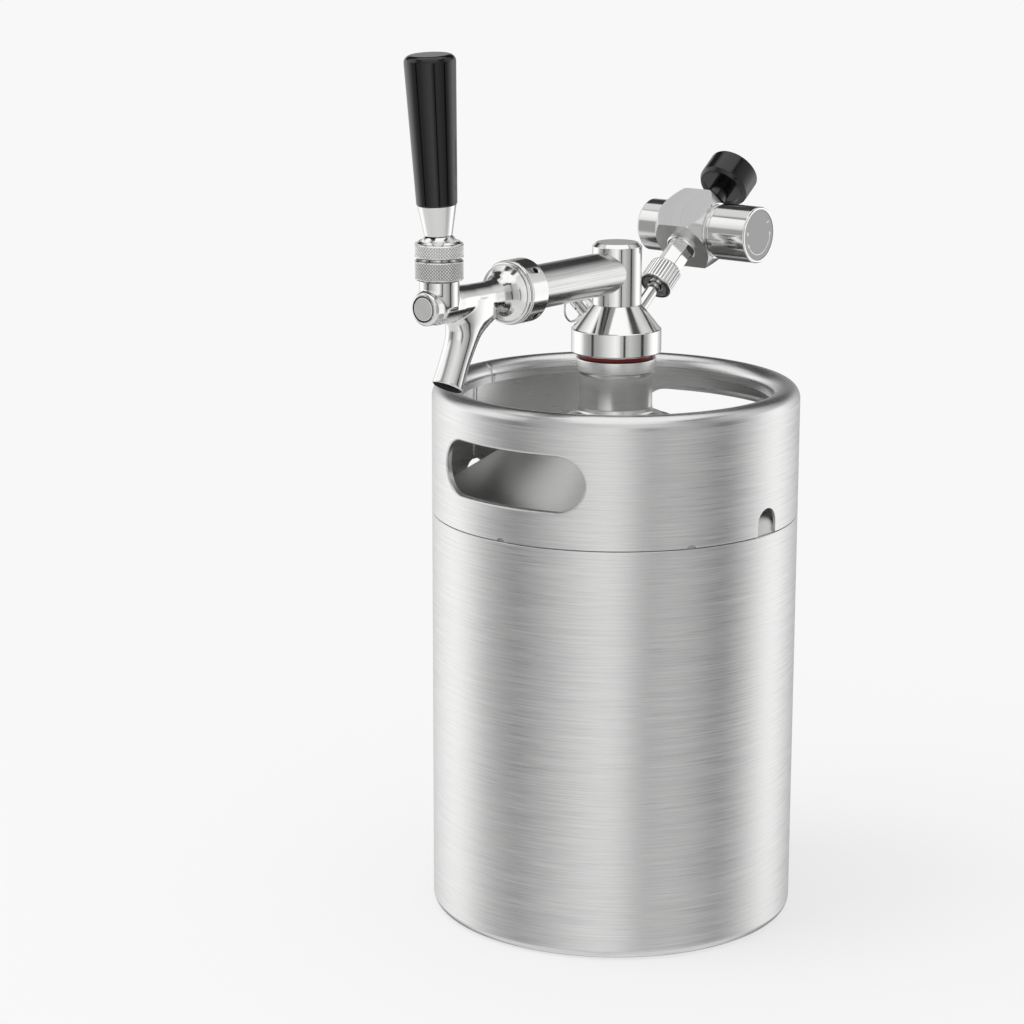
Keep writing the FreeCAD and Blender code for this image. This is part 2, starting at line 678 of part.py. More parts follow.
# Faucet body: barrel with a bell flange, lever neck and curved spout, cast as one
reach = s("tap_reach")
flange_back = reach - arm_end - s("washer_height")
bell_full = reach - s("nut_face")
barrel = turned("barrel", [
    (0, -flange_back),
    (s("bell_radius"), -flange_back),
    (s("bell_radius"), -bell_full),
    (s("bell_radius"), -s("bell_front") - 3, s("bell_round")),
    (s("barrel_radius") + 1.5, -s("bell_front"), as_size(2)),
    (s("barrel_radius"), -s("bell_front") + 3, as_size(3)),
    (s("barrel_radius"), 4),
    (s("boss_radius"), 5),
    (s("boss_radius"), s("boss_length"), as_size(0.7)),
    (0, s("boss_length")),
], y=-reach, z=arm_height, axis=X_AXIS, degrees=as_size(90))
neck_end = s("pivot_height") - 0.6
lever_neck = turned("lever_neck", [
    (0, 0),
    (s("lever_neck_radius"), 0),
    (s("lever_neck_radius"), s("ring_base")),
    (s("neck_screw_radius"), s("ring_base")),
    (s("neck_screw_radius"), neck_end - 0.6),
    (0, neck_end - 0.6),
], y=-reach, z=arm_height)

# The spout is lofted through ellipses: distance from the lever's axis, height above
# the barrel's axis, half length, half width, and lean of each section in degrees
SPOUT = [
    (19.0, 1.0, 17.0, 7.2, 0.0),
    (16.8, -8.6, 12.4, 7.0, 12.0),
    (13.6, -17.2, 7.6, 6.7, 22.0),
    (8.8, -27.2, 6.7, 6.7, 25.0),
    (4.5, -35.6, 7.1, 7.1, 25.0),
]


def ellipse(name, along, up, half_length, half_width, lean):
    ring = doc.addObject("Part::Ellipse", name)
    ring.MajorRadius = number(half_length)
    ring.MinorRadius = number(half_width)
    bind(ring, "MajorRadius", half_length)
    bind(ring, "MinorRadius", half_width)
    tilt = FreeCAD.Rotation(X_AXIS, -lean).multiply(FreeCAD.Rotation(Z_AXIS, 90))
    ring.Placement = FreeCAD.Placement(Vector(0, 0, 0), tilt)
    bind(ring, "Placement.Base.y", as_size(along) - reach)
    bind(ring, "Placement.Base.z", arm_height + up)
    return ring


def loft(name, rings):
    solid = doc.addObject("Part::Loft", name)
    solid.Sections = rings
    solid.Solid = True
    return solid


outer_rings = []
bore_rings = []
for index, (along, up, half_length, half_width, lean) in enumerate(SPOUT):
    swell = s("spout_radius") / 7.1 if index == len(SPOUT) - 1 else s("spout_waist") / 6.7
    outer_rings.append(ellipse("spout_ring_%d" % index, along, up,
                               swell * half_length, swell * half_width, lean))
    bore = s("spout_bore")
    if index:
        bore_rings.append(ellipse("bore_ring_%d" % index, along, up, bore + 0.001, bore, lean))
entry = ellipse("bore_ring_entry", 17.5, 0.0, s("guide_radius"), s("guide_radius") - 0.001, 0.0)
mouth = SPOUT[-1]
exit_ring = ellipse("bore_ring_exit", mouth[0] - 1.3, mouth[1] - 2.8,
                    s("spout_bore") + 0.001, s("spout_bore"), mouth[4])
casting = fuse("faucet_casting", [barrel, lever_neck, loft("spout", outer_rings)])


def barrel_cutter(name, tool_radius, start, length):
    """A round cutter on the barrel's axis, from a distance behind the lever's axis."""
    tool = primitive("Cylinder", name, Radius=tool_radius, Height=length)
    return put(tool, 0, start - reach, arm_height, X_AXIS, as_size(90))


seat = s("seat_place")
tools = [
    loft("spout_way", [entry] + bore_rings + [exit_ring]),
    barrel_cutter("chamber", s("chamber_radius"), flange_back + 1, flange_back + 1 - seat),
    barrel_cutter("seat_way", s("seat_radius"), seat + 1, s("seat_length") + 2),
    barrel_cutter("guide_way", s("guide_radius"), seat - s("seat_length"),
                  seat - s("seat_length") + s("boss_length") - s("end_cap_depth") + 0.5),
    barrel_cutter("end_cap_seat", s("end_cap_radius"), s("end_cap_depth") - s("boss_length"),
                  s("end_cap_depth") + 1),
    put(primitive("Cylinder", "neck_way", Radius=s("neck_way_radius"), Height=s("pivot_height") + 3),
        0, -reach, arm_height),
]
keep(cut("faucet_body", casting, fuse("faucet_ways", tools)))

# Faucet end cap: plug in the front boss
keep(turned("faucet_end_cap", [
    (0, s("boss_length") - s("end_cap_depth")),
    (s("end_cap_radius"), s("boss_length") - s("end_cap_depth")),
    (s("end_cap_radius"), s("boss_length") - 0.6),
    (s("end_cap_radius") - 0.5, s("boss_length") - 0.2),
    (0, s("boss_length") - 0.2),
], y=-reach, z=arm_height, axis=X_AXIS, degrees=as_size(90)))

# Neck ring and bonnet: the two knurled rings screwed on the lever neck
ring_top = s("ring_base") + s("ring_height")
keep(turned("neck_ring", [
    (s("neck_screw_radius"), s("ring_base")),
    (s("ring_radius") - 0.5, s("ring_base")),
    (s("ring_radius"), s("ring_base") + 0.5),
    (s("ring_radius"), ring_top - 0.5),
    (s("ring_radius") - 0.5, ring_top),
    (s("neck_screw_radius"), ring_top),
], y=-reach, z=arm_height))
bonnet_base = ring_top + s("ring_gap")
bonnet_face = bonnet_base + s("bonnet_height")
pivot = s("pivot_height")
bonnet_ring = turned("bonnet_turned", [
    (0, bonnet_base),
    (s("ring_radius") - 0.5, bonnet_base),
    (s("ring_radius"), bonnet_base + 0.5),
    (s("ring_radius"), bonnet_face),
    (s("crown_radius") - 0.8, bonnet_face + 0.6),
    (0, bonnet_face + 0.6),
], y=-reach, z=arm_height)
crown = put(primitive("Sphere", "crown", Radius=s("crown_radius")), 0, -reach, arm_height + pivot)
crown_block = put(primitive("Box", "crown_block", Length=s("crown_radius") * 2, Width=s("crown_radius") * 2,
                            Height=s("crown_radius")),
                  -s("crown_radius"), -reach - s("crown_radius"), arm_height + bonnet_base + 4)
bonnet_solid = fuse("bonnet_solid", [bonnet_ring, common("crown_top", crown, crown_block)])
ball_room = s("ball_radius") + s("ball_clearance")
socket_ball = put(primitive("Sphere", "ball_socket", Radius=ball_room), 0, -reach, arm_height + pivot)
socket_way = put(primitive("Cylinder", "ball_way", Radius=ball_room, Height=pivot), 0, -reach, arm_height)
thread_way = put(primitive("Cylinder", "bonnet_thread", Radius=s("neck_screw_radius"), Height=neck_end),
                 0, -reach, arm_height)
slot_half = s("stem_radius") + 0.3
slot_box = put(primitive("Box", "lever_slot", Length=slot_half * 2,
                         Width=s("lever_slot_reach"), Height=s("crown_radius") + 2),
               -slot_half, -reach - s("lever_slot_reach"), arm_height + pivot)
slot_round = put(primitive("Cylinder", "lever_slot_end", Radius=slot_half, Height=s("crown_radius") + 2),
                 0, -reach, arm_height + pivot)
keep(cut("bonnet", bonnet_solid,
         fuse("bonnet_ways", [socket_ball, socket_way, thread_way, slot_box, slot_round])))

# Lever: ball with a stem up into the handle and a bent tail down to the shaft
lean = s("handle_lean")
ball = put(primitive("Sphere", "lever_ball", Radius=s("ball_radius")), 0, -reach, arm_height + pivot)
stem = turned("lever_stem", [
    (0, 0),
    (s("stem_radius"), 0),
    (s("stem_radius"), s("ferrule_top") + 8),
    (0, s("ferrule_top") + 8),
], y=-reach, z=arm_height + pivot, axis=X_AXIS, degrees=lean)
tail_length = pivot
tail = turned("lever_tail", [
    (0, -tail_length),
    (s("tail_radius"), -tail_length),
    (s("tail_radius"), 0),
    (0, 0),
], y=-reach, z=arm_height + pivot, axis=X_AXIS, degrees=-s("tail_lean"))
tail_angle = math.radians(number(s("tail_lean")))
tail_swing = number(tail_length) * math.sin(tail_angle)
tail_end = primitive("Sphere", "tail_end", Radius=s("tail_ball"))
put(tail_end, 0, -reach - tail_swing, arm_height + pivot - number(tail_length) * math.cos(tail_angle))
keep(fuse("lever", [ball, stem, tail, tail_end]))

# Handle ferrule: tapered collar whose hollow foot rides over the bonnet's crown
cup = s("crown_radius") + s("crown_clearance")
rim_height = math.sqrt(number(cup) ** 2 - number(s("ferrule_base")) ** 2)
ferrule_turned = turned("ferrule_turned", [
    (s("stem_radius"), rim_height),
    (s("ferrule_base"), rim_height),
    (s("ferrule_top_radius"), s("ferrule_top")),
    (s("stem_radius"), s("ferrule_top")),
], y=-reach, z=arm_height + pivot, axis=X_AXIS, degrees=lean)
cup_ball = put(primitive("Sphere", "cup_ball", Radius=cup), 0, -reach, arm_height + pivot)
keep(cut("handle_ferrule", ferrule_turned, cup_ball))

# Handle grip: tapered black handle, blind-threaded on the stem
grip_top = s("ferrule_top") + s("grip_length")
keep(turned("handle_grip", [
    (s("stem_radius"), s("ferrule_top")),
    (s("grip_base_radius") - 0.3, s("ferrule_top")),
    (s("grip_base_radius"), s("ferrule_top") + 0.3),
    (s("grip_top_radius"), grip_top, s("grip_round")),
    (0, grip_top),
    (0, s("ferrule_top") + 8),
    (s("stem_radius"), s("ferrule_top") + 8),
], y=-reach, z=arm_height + pivot, axis=X_AXIS, degrees=lean))

# Valve shaft: its head slides in the barrel and holds the tail, its rod pulls the seal
shaft_front = s("boss_length") - s("end_cap_depth") - 0.5
shaft = turned("shaft_turned", [
    (0, -seat - s("shaft_seal_height") - 1),
    (s("shaft_radius"), -seat - s("shaft_seal_height") - 1),
    (s("shaft_radius"), -9.5),
    (s("head_radius"), -7.5),
    (s("head_radius"), shaft_front - 0.5),
    (s("head_radius") - 0.5, shaft_front),
    (0, shaft_front),
], y=-reach, z=arm_height, axis=X_AXIS, degrees=as_size(90))
tail_way = put(primitive("Cylinder", "tail_way_cut", Radius=s("tail_way"), Height=s("head_radius") * 2 + 2),
               0, -reach - tail_swing, arm_height - s("head_radius") - 1)
keep(cut("valve_shaft", shaft, tail_way))
keep(turned("shaft_seal", [
    (s("shaft_radius"), -seat - s("shaft_seal_height") - 0.05),
    (s("chamber_radius") - 0.7, -seat - s("shaft_seal_height") - 0.05),
    (s("chamber_radius") - 0.7, -seat - 0.05),
    (s("shaft_radius"), -seat - 0.05),
], y=-reach, z=arm_height, axis=X_AXIS, degrees=as_size(90)))


def on_gas_line(distance=0):
    """Where a piece of the gas line sits: its Z runs up the line from the cap."""
    slope = math.radians(number(s("gas_elevation")))
    text = "Sizes.gas_elevation * 1deg"
    run = Size(math.cos(slope), "cos(" + text + ")")
    rise = Size(math.sin(slope), "sin(" + text + ")")
    along = as_size(distance)
    return {
        "y": s("gas_root_y") + run * along,
        "z": s("gas_root_z") + rise * along,
        "axis": X_AXIS,
        "degrees": gas_turn,
    }


# Gas stem: thin tube from the cone with a flange that the gas nut pulls
web_top = s("gas_nut_place") + 3 + s("gas_nut_web")
flange_low = web_top + s("running_gap")
stem_top = flange_low + 2
keep(turned("gas_stem", [
    (s("gas_bore"), -s("gas_stem_depth")),
    (s("gas_stem_radius"), -s("gas_stem_depth")),
    (s("gas_stem_radius"), flange_low),
    (s("gas_flange_radius"), flange_low),
    (s("gas_flange_radius"), stem_top),
    (s("gas_bore"), stem_top),
], **on_gas_line()))

# Gas nut: straight-knurled swivel nut with an open lower end
nut_top = s("gas_nut_place") + s("gas_nut_length")
gas_nut = turned("gas_nut", [
    (s("gas_nut_mouth"), s("gas_nut_place")),
    (s("gas_nut_radius") - 1, s("gas_nut_place")),
    (s("gas_nut_radius"), s("gas_nut_place") + 1),
    (s("gas_nut_radius"), nut_top - 0.5),
    (s("gas_nut_radius") - 0.5, nut_top),
    (s("nipple_radius") + s("running_gap"), nut_top),
    (s("nipple_radius") + s("running_gap"), web_top),
    (s("gas_stem_radius") + s("running_gap"), web_top),
    (s("gas_stem_radius") + s("running_gap"), s("gas_nut_place") + 3),
    (s("gas_nut_mouth"), s("gas_nut_place") + 3),
], **on_gas_line())
groove = circle_pocket(gas_nut, "knurl_groove", "XY_Plane", s("gas_nut_radius") + 0.2, 0, s("knurl_radius"))
grooves = gas_nut.newObject("PartDesign::PolarPattern", "knurl")
grooves.Originals = [groove]
grooves.Axis = ([f for f in gas_nut.Origin.OriginFeatures if f.Role == "Z_Axis"][0], [""])
grooves.Angle = 360
grooves.Occurrences = 22
gas_nut.Tip = grooves
keep(gas_nut)

# Stem seal: between the stem's flange and the nipple
keep(turned("stem_seal", [
    (s("gas_bore"), stem_top),
    (s("gas_flange_radius") - 0.4, stem_top),
    (s("gas_flange_radius") - 0.4, stem_top + 1),
    (s("gas_bore"), stem_top + 1),
], **on_gas_line()))

# Gas nipple: threaded end in the nut, hexagon and a port into the regulator
nipple_base = stem_top + 1
hex_top = s("regulator_place") - s("block_down")
nipple_screw = turned("nipple_screw", [
    (0, nipple_base),
    (s("nipple_radius"), nipple_base),
    (s("nipple_radius"), nut_top - 0.6),
    (s("nipple_radius") - 1.5, nut_top + 0.6),
    (0, nut_top + 0.6),
], **on_gas_line())
hexagon = doc.addObject("Part::Prism", "nipple_hexagon")
hexagon.Polygon = 6
bind(hexagon, "Circumradius", s("nipple_flats") / math.sqrt(3))
bind(hexagon, "Height", hex_top - nut_top + 2)
put(hexagon, **on_gas_line(nut_top - 2))
nipple_bore = put(primitive("Cylinder", "nipple_bore", Radius=s("gas_bore"), Height=as_size(60)),
                  **on_gas_line(stem_top - 5))
keep(cut("gas_nipple", fuse("nipple_solid", [nipple_screw, hexagon]), nipple_bore))

# Regulator body: a square block turned about the knob's axis, with round ports
centre = on_gas_line(s("regulator_place"))
block = primitive("Box", "block", Length=s("block_length"), Width=s("block_half") * 2,
                  Height=s("block_down") + s("block_up"))
slope = math.radians(number(s("gas_elevation")))
line_way = Vector(0, math.cos(slope), math.sin(slope))
front_way = Vector(0, -math.sin(slope), math.cos(slope))
block_turn = FreeCAD.Rotation(X_AXIS, number(gas_turn))
foot = Vector(0, number(centre["y"]), number(centre["z"]))
foot = foot - line_way * number(s("block_down")) + front_way * number(s("block_half"))
foot = foot - Vector(number(s("block_length")) / 2, 0, 0)
block.Placement = FreeCAD.Placement(foot, block_turn)


def on_knob_axis(offset=0, turn=90):
    """Where a piece of the knob's axis sits: its Z runs out to +X, or to -X at -90."""
    return {"x": offset, "y": centre["y"], "z": centre["z"], "axis": Y_AXIS, "degrees": as_size(turn)}


half_block = s("block_length") / 2
block_form = turned("block_form", [
    (0, -half_block),
    (s("block_turned_end"), -half_block),
    (s("block_turned"), -s("block_middle")),
    (s("block_turned"), s("block_middle")),
    (s("block_turned_end"), half_block),
    (0, half_block),
], **on_knob_axis())
knob_boss = turned("knob_boss", [
    (0, 0),
    (s("knob_boss_radius"), 0),
    (s("knob_boss_radius"), half_block + s("knob_boss_length") - 0.5),
    (s("knob_boss_radius") - 0.5, half_block + s("knob_boss_length")),
    (0, half_block + s("knob_boss_length")),
], **on_knob_axis())
port = turned("inlet_port", [
    (0, -s("block_down") - s("port_height")),
    (s("port_radius") - 0.6, -s("block_down") - s("port_height")),
    (s("port_radius"), -s("block_down") - s("port_height") + 0.6),
    (s("port_radius"), 0),
    (0, 0),
], **on_gas_line(s("regulator_place")))
body_solid = fuse("regulator_solid", [common("block_turned", block, block_form), knob_boss, port])
diaphragm_place = as_size(-3)
chamber_base = diaphragm_place
chamber_top = half_block - 1.5
body_tools = [
    put(primitive("Cylinder", "spring_way", Radius=s("spring_chamber"), Height=chamber_top - chamber_base),
        **on_knob_axis(chamber_base)),
    put(primitive("Cylinder", "screw_way", Radius=s("screw_radius") + s("running_gap") / 4, Height=as_size(40)),
        **on_knob_axis(chamber_base)),
    put(primitive("Cylinder", "pin_way", Radius=s("pin_radius") * 2, Height=s("block_length")),
        **on_knob_axis(diaphragm_place + 1, -90)),
    put(primitive("Cylinder", "inlet_way", Radius=s("gas_bore"), Height=s("block_down") + 5),
        **on_gas_line(s("regulator_place") - s("block_down") - 3)),
]
nipple_seat = doc.addObject("Part::Prism", "nipple_seat")
nipple_seat.Polygon = 6
bind(nipple_seat, "Circumradius", s("nipple_flats") / math.sqrt(3))
bind(nipple_seat, "Height", s("port_height") + 4)
put(nipple_seat, **on_gas_line(hex_top - s("port_height") - 4))
keep(cut("regulator_body", body_solid, fuse("regulator_ways", body_tools + [nipple_seat])))

# Inside the regulator: diaphragm, adjusting spring, adjusting screw and poppet
keep(turned("diaphragm", [
    (0, 0),
    (s("spring_chamber") - 0.1, 0),
    (s("spring_chamber") - 0.1, s("diaphragm_height")),
    (0, s("diaphragm_height")),
], **on_knob_axis(diaphragm_place)))
spring_base = diaphragm_place + s("diaphragm_height") + 0.05
helix = doc.addObject("Part::Helix", "spring_line")
spring_height = 9.0
helix.Pitch = spring_height / 3
helix.Height = spring_height
helix.Radius = number(s("spring_radius"))
bind(helix, "Radius", s("spring_radius"))
wire_ring = doc.addObject("Part::Circle", "spring_ring")
wire_ring.Radius = number(s("spring_wire"))
bind(wire_ring, "Radius", s("spring_wire"))
wire_ring.Placement = FreeCAD.Placement(Vector(number(s("spring_radius")), 0, 0), FreeCAD.Rotation(X_AXIS, 90))
bind(wire_ring, "Placement.Base.x", s("spring_radius"))
coil = doc.addObject("Part::Sweep", "adjusting_spring")
coil.Sections = [wire_ring]
coil.Spine = (helix, [])
coil.Solid = True
coil.Frenet = True
put(coil, **on_knob_axis(spring_base + s("spring_wire") + 0.05))
keep(coil)
screw_end = half_block + s("knob_boss_length") + s("knob_length") - 5
keep(turned("adjusting_screw", [
    (0, 4),
    (s("screw_radius"), 4),
    (s("screw_radius"), screw_end),
    (0, screw_end),
], **on_knob_axis()))
keep(turned("poppet", [
    (0, 1),
    (s("pin_radius") * 2 - 0.2, 1),
    (s("pin_radius") * 2 - 0.2, 5),
    (s("pin_radius"), 7),
    (0, 7),
], **on_knob_axis(diaphragm_place, -90)))

# Cartridge socket: threaded cup at the far side from the knob, with its seal and pin
socket_end = half_block + s("socket_length")
undercut = half_block + s("undercut_length")
keep(turned("cartridge_socket", [
    (s("cartridge_bore"), undercut),
    (s("cartridge_bore") + 0.7, undercut - 0.7),
    (s("cartridge_bore") + 0.7, half_block),
    (s("socket_radius"), half_block),
    (s("socket_radius"), socket_end - s("socket_chamfer")),
    (s("socket_radius") - s("socket_chamfer"), socket_end),
    (s("cartridge_bore") + 0.8, socket_end),
    (s("cartridge_bore"), socket_end - 0.8),
], **on_knob_axis(0, -90)))
keep(turned("cartridge_seal", [
    (s("pin_radius"), half_block),
    (s("cartridge_bore") + 0.65, half_block),
    (s("cartridge_bore") + 0.65, half_block + s("cartridge_seal_height")),
    (s("pin_radius"), half_block + s("cartridge_seal_height")),
], **on_knob_axis(0, -90)))
keep(turned("piercing_pin", [
    (0, half_block - 1.5),
    (s("pin_radius") * 2, half_block - 1.5),
    (s("pin_radius") * 2, half_block),
    (s("pin_radius"), half_block),
    (s("pin_radius"), half_block + s("pin_length") - 1.4),
    (0.1, half_block + s("pin_length")),
    (0, half_block + s("pin_length")),
], **on_knob_axis(0, -90)))

# Pressure knob: turned cup with a plate let into its face
knob_base = half_block + s("knob_boss_length") + s("running_gap")
knob_end = knob_base + s("knob_length")
keep(turned("regulator_knob", [
    (s("screw_radius"), knob_base),
    (s("knob_radius") - 0.5, knob_base),
    (s("knob_radius"), knob_base + 0.5),
    (s("knob_radius"), knob_end - 0.5),
    (s("knob_radius") - 0.5, knob_end),
    (s("knob_radius") - s("knob_rim"), knob_end),
    (s("knob_radius") - s("knob_rim"), knob_end - s("plate_height") - 0.2),
    (0, knob_end - s("plate_height") - 0.2),
    (0, screw_end),
    (s("screw_radius"), screw_end),
], **on_knob_axis()))
keep(turned("knob_plate", [
    (0, knob_end - s("plate_height") - 0.2),
    (s("knob_radius") - s("knob_rim"), knob_end - s("plate_height") - 0.2),
    (s("knob_radius") - s("knob_rim"), knob_end - 0.2),
    (0, knob_end - 0.2),
], **on_knob_axis()))

# Gauge: stem, case with a raised ring on its back, dial, needle, lens and bezel
block_top = s("regulator_place") + s("block_up")
back = s("gauge_place")
keep(turned("gauge_stem", [
    (0, block_top),
    (s("gauge_stem_radius") + 1.4, block_top),
    (s("gauge_stem_radius") + 1.4, block_top + 3),
    (s("gauge_stem_radius"), block_top + 4.5),
    (s("gauge_stem_radius"), back),
    (0, back),
], **on_gas_line()))
front = back + s("gauge_depth")
dial_place = front - s("dial_depth")
keep(turned("gauge_case", [
    (0, back),
    (s("gauge_radius") * 0.72, back),
    (s("gauge_radius") * 0.78, back - 0.7),
    (s("gauge_radius") * 0.92, back - 0.7),
    (s("gauge_radius"), back + 1.5, as_size(1.2)),
    (s("gauge_radius"), front),
    (s("gauge_radius") - s("gauge_wall"), front),
    (s("gauge_radius") - s("gauge_wall"), dial_place),
    (0, dial_place),
], **on_gas_line()))
face_radius = s("gauge_radius") - s("gauge_wall")
dial = turned("gauge_dial", [
    (0.7, dial_place),
    (face_radius, dial_place),
    (face_radius, dial_place + s("dial_height")),
    (0.7, dial_place + s("dial_height")),
], **on_gas_line())
keep(dial)
needle_low = dial_place + s("dial_height") + s("running_gap")
hub = turned("needle_hub", [
    (0, dial_place + 0.1),
    (0.6, dial_place + 0.1),
    (0.6, needle_low),
    (1.6, needle_low),
    (1.6, needle_low + 1),
    (0, needle_low + 1),
], **on_gas_line())
blade = new_body("needle_blade")
blade_sketch = new_sketch(blade, "blade_outline", "XY_Plane")
outline(blade_sketch, [
    (-s("needle_width"), as_size(-3.2)),
    (s("needle_width"), as_size(-3.2)),
    (as_size(0.25), s("needle_length")),
    (as_size(-0.25), s("needle_length")),
])
blade_pad = blade.newObject("PartDesign::Pad", "blade_pad")
blade_pad.Profile = blade_sketch
blade_pad.Length = 0.5
put(blade, **on_gas_line(needle_low + 0.2))
keep(fuse("gauge_needle", [hub, blade]))
lens_low = needle_low + 1.6
keep(turned("gauge_lens", [
    (0, lens_low),
    (face_radius, lens_low),
    (face_radius, lens_low + s("lens_height")),
    (0, lens_low + s("lens_height")),
], **on_gas_line()))
keep(turned("gauge_bezel", [
    (face_radius - 1, lens_low + s("lens_height")),
    (face_radius, lens_low + s("lens_height")),
    (face_radius, front),
    (face_radius - 1, front),
], **on_gas_line()))


def on_relief_axis(distance=0):
    """Where a piece of the relief valve sits: its Z runs out of the cone."""
    lift = math.radians(number(s("relief_slope")))
    text = "Sizes.relief_slope * 1deg"
    along = as_size(distance)
    return {
        "x": -s("relief_root_x") - Size(math.cos(lift), "cos(" + text + ")") * along,
        "z": s("relief_root_z") + Size(math.sin(lift), "sin(" + text + ")") * along,
        "axis": Y_AXIS,
        "degrees": relief_turn,
    }


# Relief valve: body in the cone, sprung plunger and a hanging pull ring
relief_top = s("relief_length")
room = s("relief_bore")
plunger_hole = s("plunger_radius") + 0.15
keep(turned("relief_body", [
    (s("gas_bore"), -s("relief_depth")),
    (s("relief_radius"), -s("relief_depth")),
    (s("relief_radius"), relief_top - 0.8),
    (s("relief_radius") - 0.8, relief_top),
    (plunger_hole, relief_top),
    (plunger_hole, relief_top - 1.2),
    (room, relief_top - 1.2),
    (room, -s("relief_depth") + 1.5),
    (s("gas_bore"), -s("relief_depth") + 1.5),
], **on_relief_axis()))
seal_low = 1.55 - s("relief_depth")
plunger_low = seal_low + 1
keep(turned("relief_seal", [
    (0, seal_low),
    (room - 0.3, seal_low),
    (room - 0.3, plunger_low),
    (0, plunger_low),
], **on_relief_axis()))
plunger_turned = turned("plunger_turned", [
    (0, plunger_low),
    (room - 0.2, plunger_low),
    (room - 0.2, plunger_low + 1),
    (s("plunger_radius"), plunger_low + 1),
    (s("plunger_radius"), relief_top + s("plunger_reach") - 0.6),
    (s("plunger_radius") - 0.6, relief_top + s("plunger_reach")),
    (0, relief_top + s("plunger_reach")),
], **on_relief_axis())
relief_wire_radius = s("relief_spring_wire")
coil_radius = (room + s("plunger_radius")) / 2
coil_low = plunger_low + 1.05 + relief_wire_radius
coil_height = relief_top - 1.25 - relief_wire_radius - coil_low
relief_line = doc.addObject("Part::Helix", "relief_spring_line")
relief_line.Pitch = number(coil_height) / 4
relief_line.Height = number(coil_height)
relief_line.Radius = number(coil_radius)
bind(relief_line, "Height", coil_height)
bind(relief_line, "Pitch", coil_height / 4)
bind(relief_line, "Radius", coil_radius)
relief_wire = doc.addObject("Part::Circle", "relief_spring_ring")
relief_wire.Radius = number(relief_wire_radius)
bind(relief_wire, "Radius", relief_wire_radius)
relief_wire.Placement = FreeCAD.Placement(Vector(number(coil_radius), 0, 0), FreeCAD.Rotation(X_AXIS, 90))
bind(relief_wire, "Placement.Base.x", coil_radius)
relief_coil = doc.addObject("Part::Sweep", "relief_spring")
relief_coil.Sections = [relief_wire]
relief_coil.Spine = (relief_line, [])
relief_coil.Solid = True
relief_coil.Frenet = True
put(relief_coil, **on_relief_axis(coil_low))
keep(relief_coil)
eye = on_relief_axis(relief_top + s("plunger_reach") - 1.9)
eye_cut = primitive("Cylinder", "plunger_eye", Radius=s("ring_wire") + 0.25, Height=as_size(10))
eye_cut.Placement = FreeCAD.Placement(
    Vector(number(eye["x"]), -5, number(eye["z"])), FreeCAD.Rotation(X_AXIS, -90))
keep(cut("relief_plunger", plunger_turned, eye_cut))
ring_centre = eye["z"] - s("pull_ring_radius")
pull = primitive("Torus", "pull_ring", Radius1=s("pull_ring_radius"), Radius2=s("ring_wire"))
pull.Label = "pull_ring"
put(pull, eye["x"], 0, ring_centre, Y_AXIS, as_size(90))
keep(pull)

doc.recompute()

# Nothing is written unless every object is sound
for thing in doc.Objects:
    if thing.TypeId == "Sketcher::SketchObject" and thing.solve() != 0:
        raise RuntimeError("unsolved sketch: " + thing.Name)
    if "Invalid" in thing.State or "Error" in thing.State:
        raise RuntimeError("failed object: " + thing.Name + " " + str(thing.State))
os.makedirs("parts", exist_ok=True)
for piece in made:
    shape = piece.Shape
    if shape.isNull() or not shape.isValid():
        raise RuntimeError("unsound shape: " + piece.Label)
    shape.exportStep(os.path.join("parts", piece.Label + ".step"))
    print(piece.Label, len(shape.Solids), round(shape.Volume, 1))
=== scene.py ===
import math

import bmesh
import bpy
from mathutils import Matrix, Vector


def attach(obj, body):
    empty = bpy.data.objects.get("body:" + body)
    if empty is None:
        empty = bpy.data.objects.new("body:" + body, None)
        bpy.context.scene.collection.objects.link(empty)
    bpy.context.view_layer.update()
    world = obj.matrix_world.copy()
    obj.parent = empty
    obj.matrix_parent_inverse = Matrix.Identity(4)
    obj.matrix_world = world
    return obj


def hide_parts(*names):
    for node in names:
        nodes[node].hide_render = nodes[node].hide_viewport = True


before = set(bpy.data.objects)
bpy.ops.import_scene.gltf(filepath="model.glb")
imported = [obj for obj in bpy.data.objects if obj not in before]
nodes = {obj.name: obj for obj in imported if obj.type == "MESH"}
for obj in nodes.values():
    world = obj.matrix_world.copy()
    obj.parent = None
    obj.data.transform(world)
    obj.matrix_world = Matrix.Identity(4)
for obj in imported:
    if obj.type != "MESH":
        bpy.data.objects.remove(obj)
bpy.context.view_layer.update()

# Keg body: a deep-drawn cup of 1.2 mm stainless sheet, brushed round its wall.
# It stands on a ring, and its floor is pressed up so that it doesn't rock.
MM = 0.001
KEG_RADIUS = 85.0
KEG_WALL = 1.2
SEAM_HEIGHT = 191.0


def linear(hex_colour):
    """The linear RGBA colour of an sRGB hex value such as "C8C8C9"."""
    channels = [int(hex_colour[i:i + 2], 16) / 255 for i in (0, 2, 4)]
    return [c / 12.92 if c <= 0.04045 else ((c + 0.055) / 1.055) ** 2.4 for c in channels] + [1.0]


def add(tree, kind, inputs=None, **settings):
    """Add one shader node; its inputs are values or the sockets that feed them."""
    made = tree.nodes.new("ShaderNode" + kind)
    for name, value in settings.items():
        setattr(made, name, value)
    for key, value in (inputs or {}).items():
        if isinstance(value, bpy.types.NodeSocket):
            tree.links.new(value, made.inputs[key])
        else:
            made.inputs[key].default_value = value
    return made


def new_material(name, **inputs):
    """A material with a Principled shader, whose sockets are given by name."""
    material = bpy.data.materials.new(name)
    material.use_nodes = True
    tree = material.node_tree
    shader = tree.nodes["Principled BSDF"]
    for key, value in inputs.items():
        shader.inputs[key.replace("_", " ")].default_value = value
    return material, tree, shader


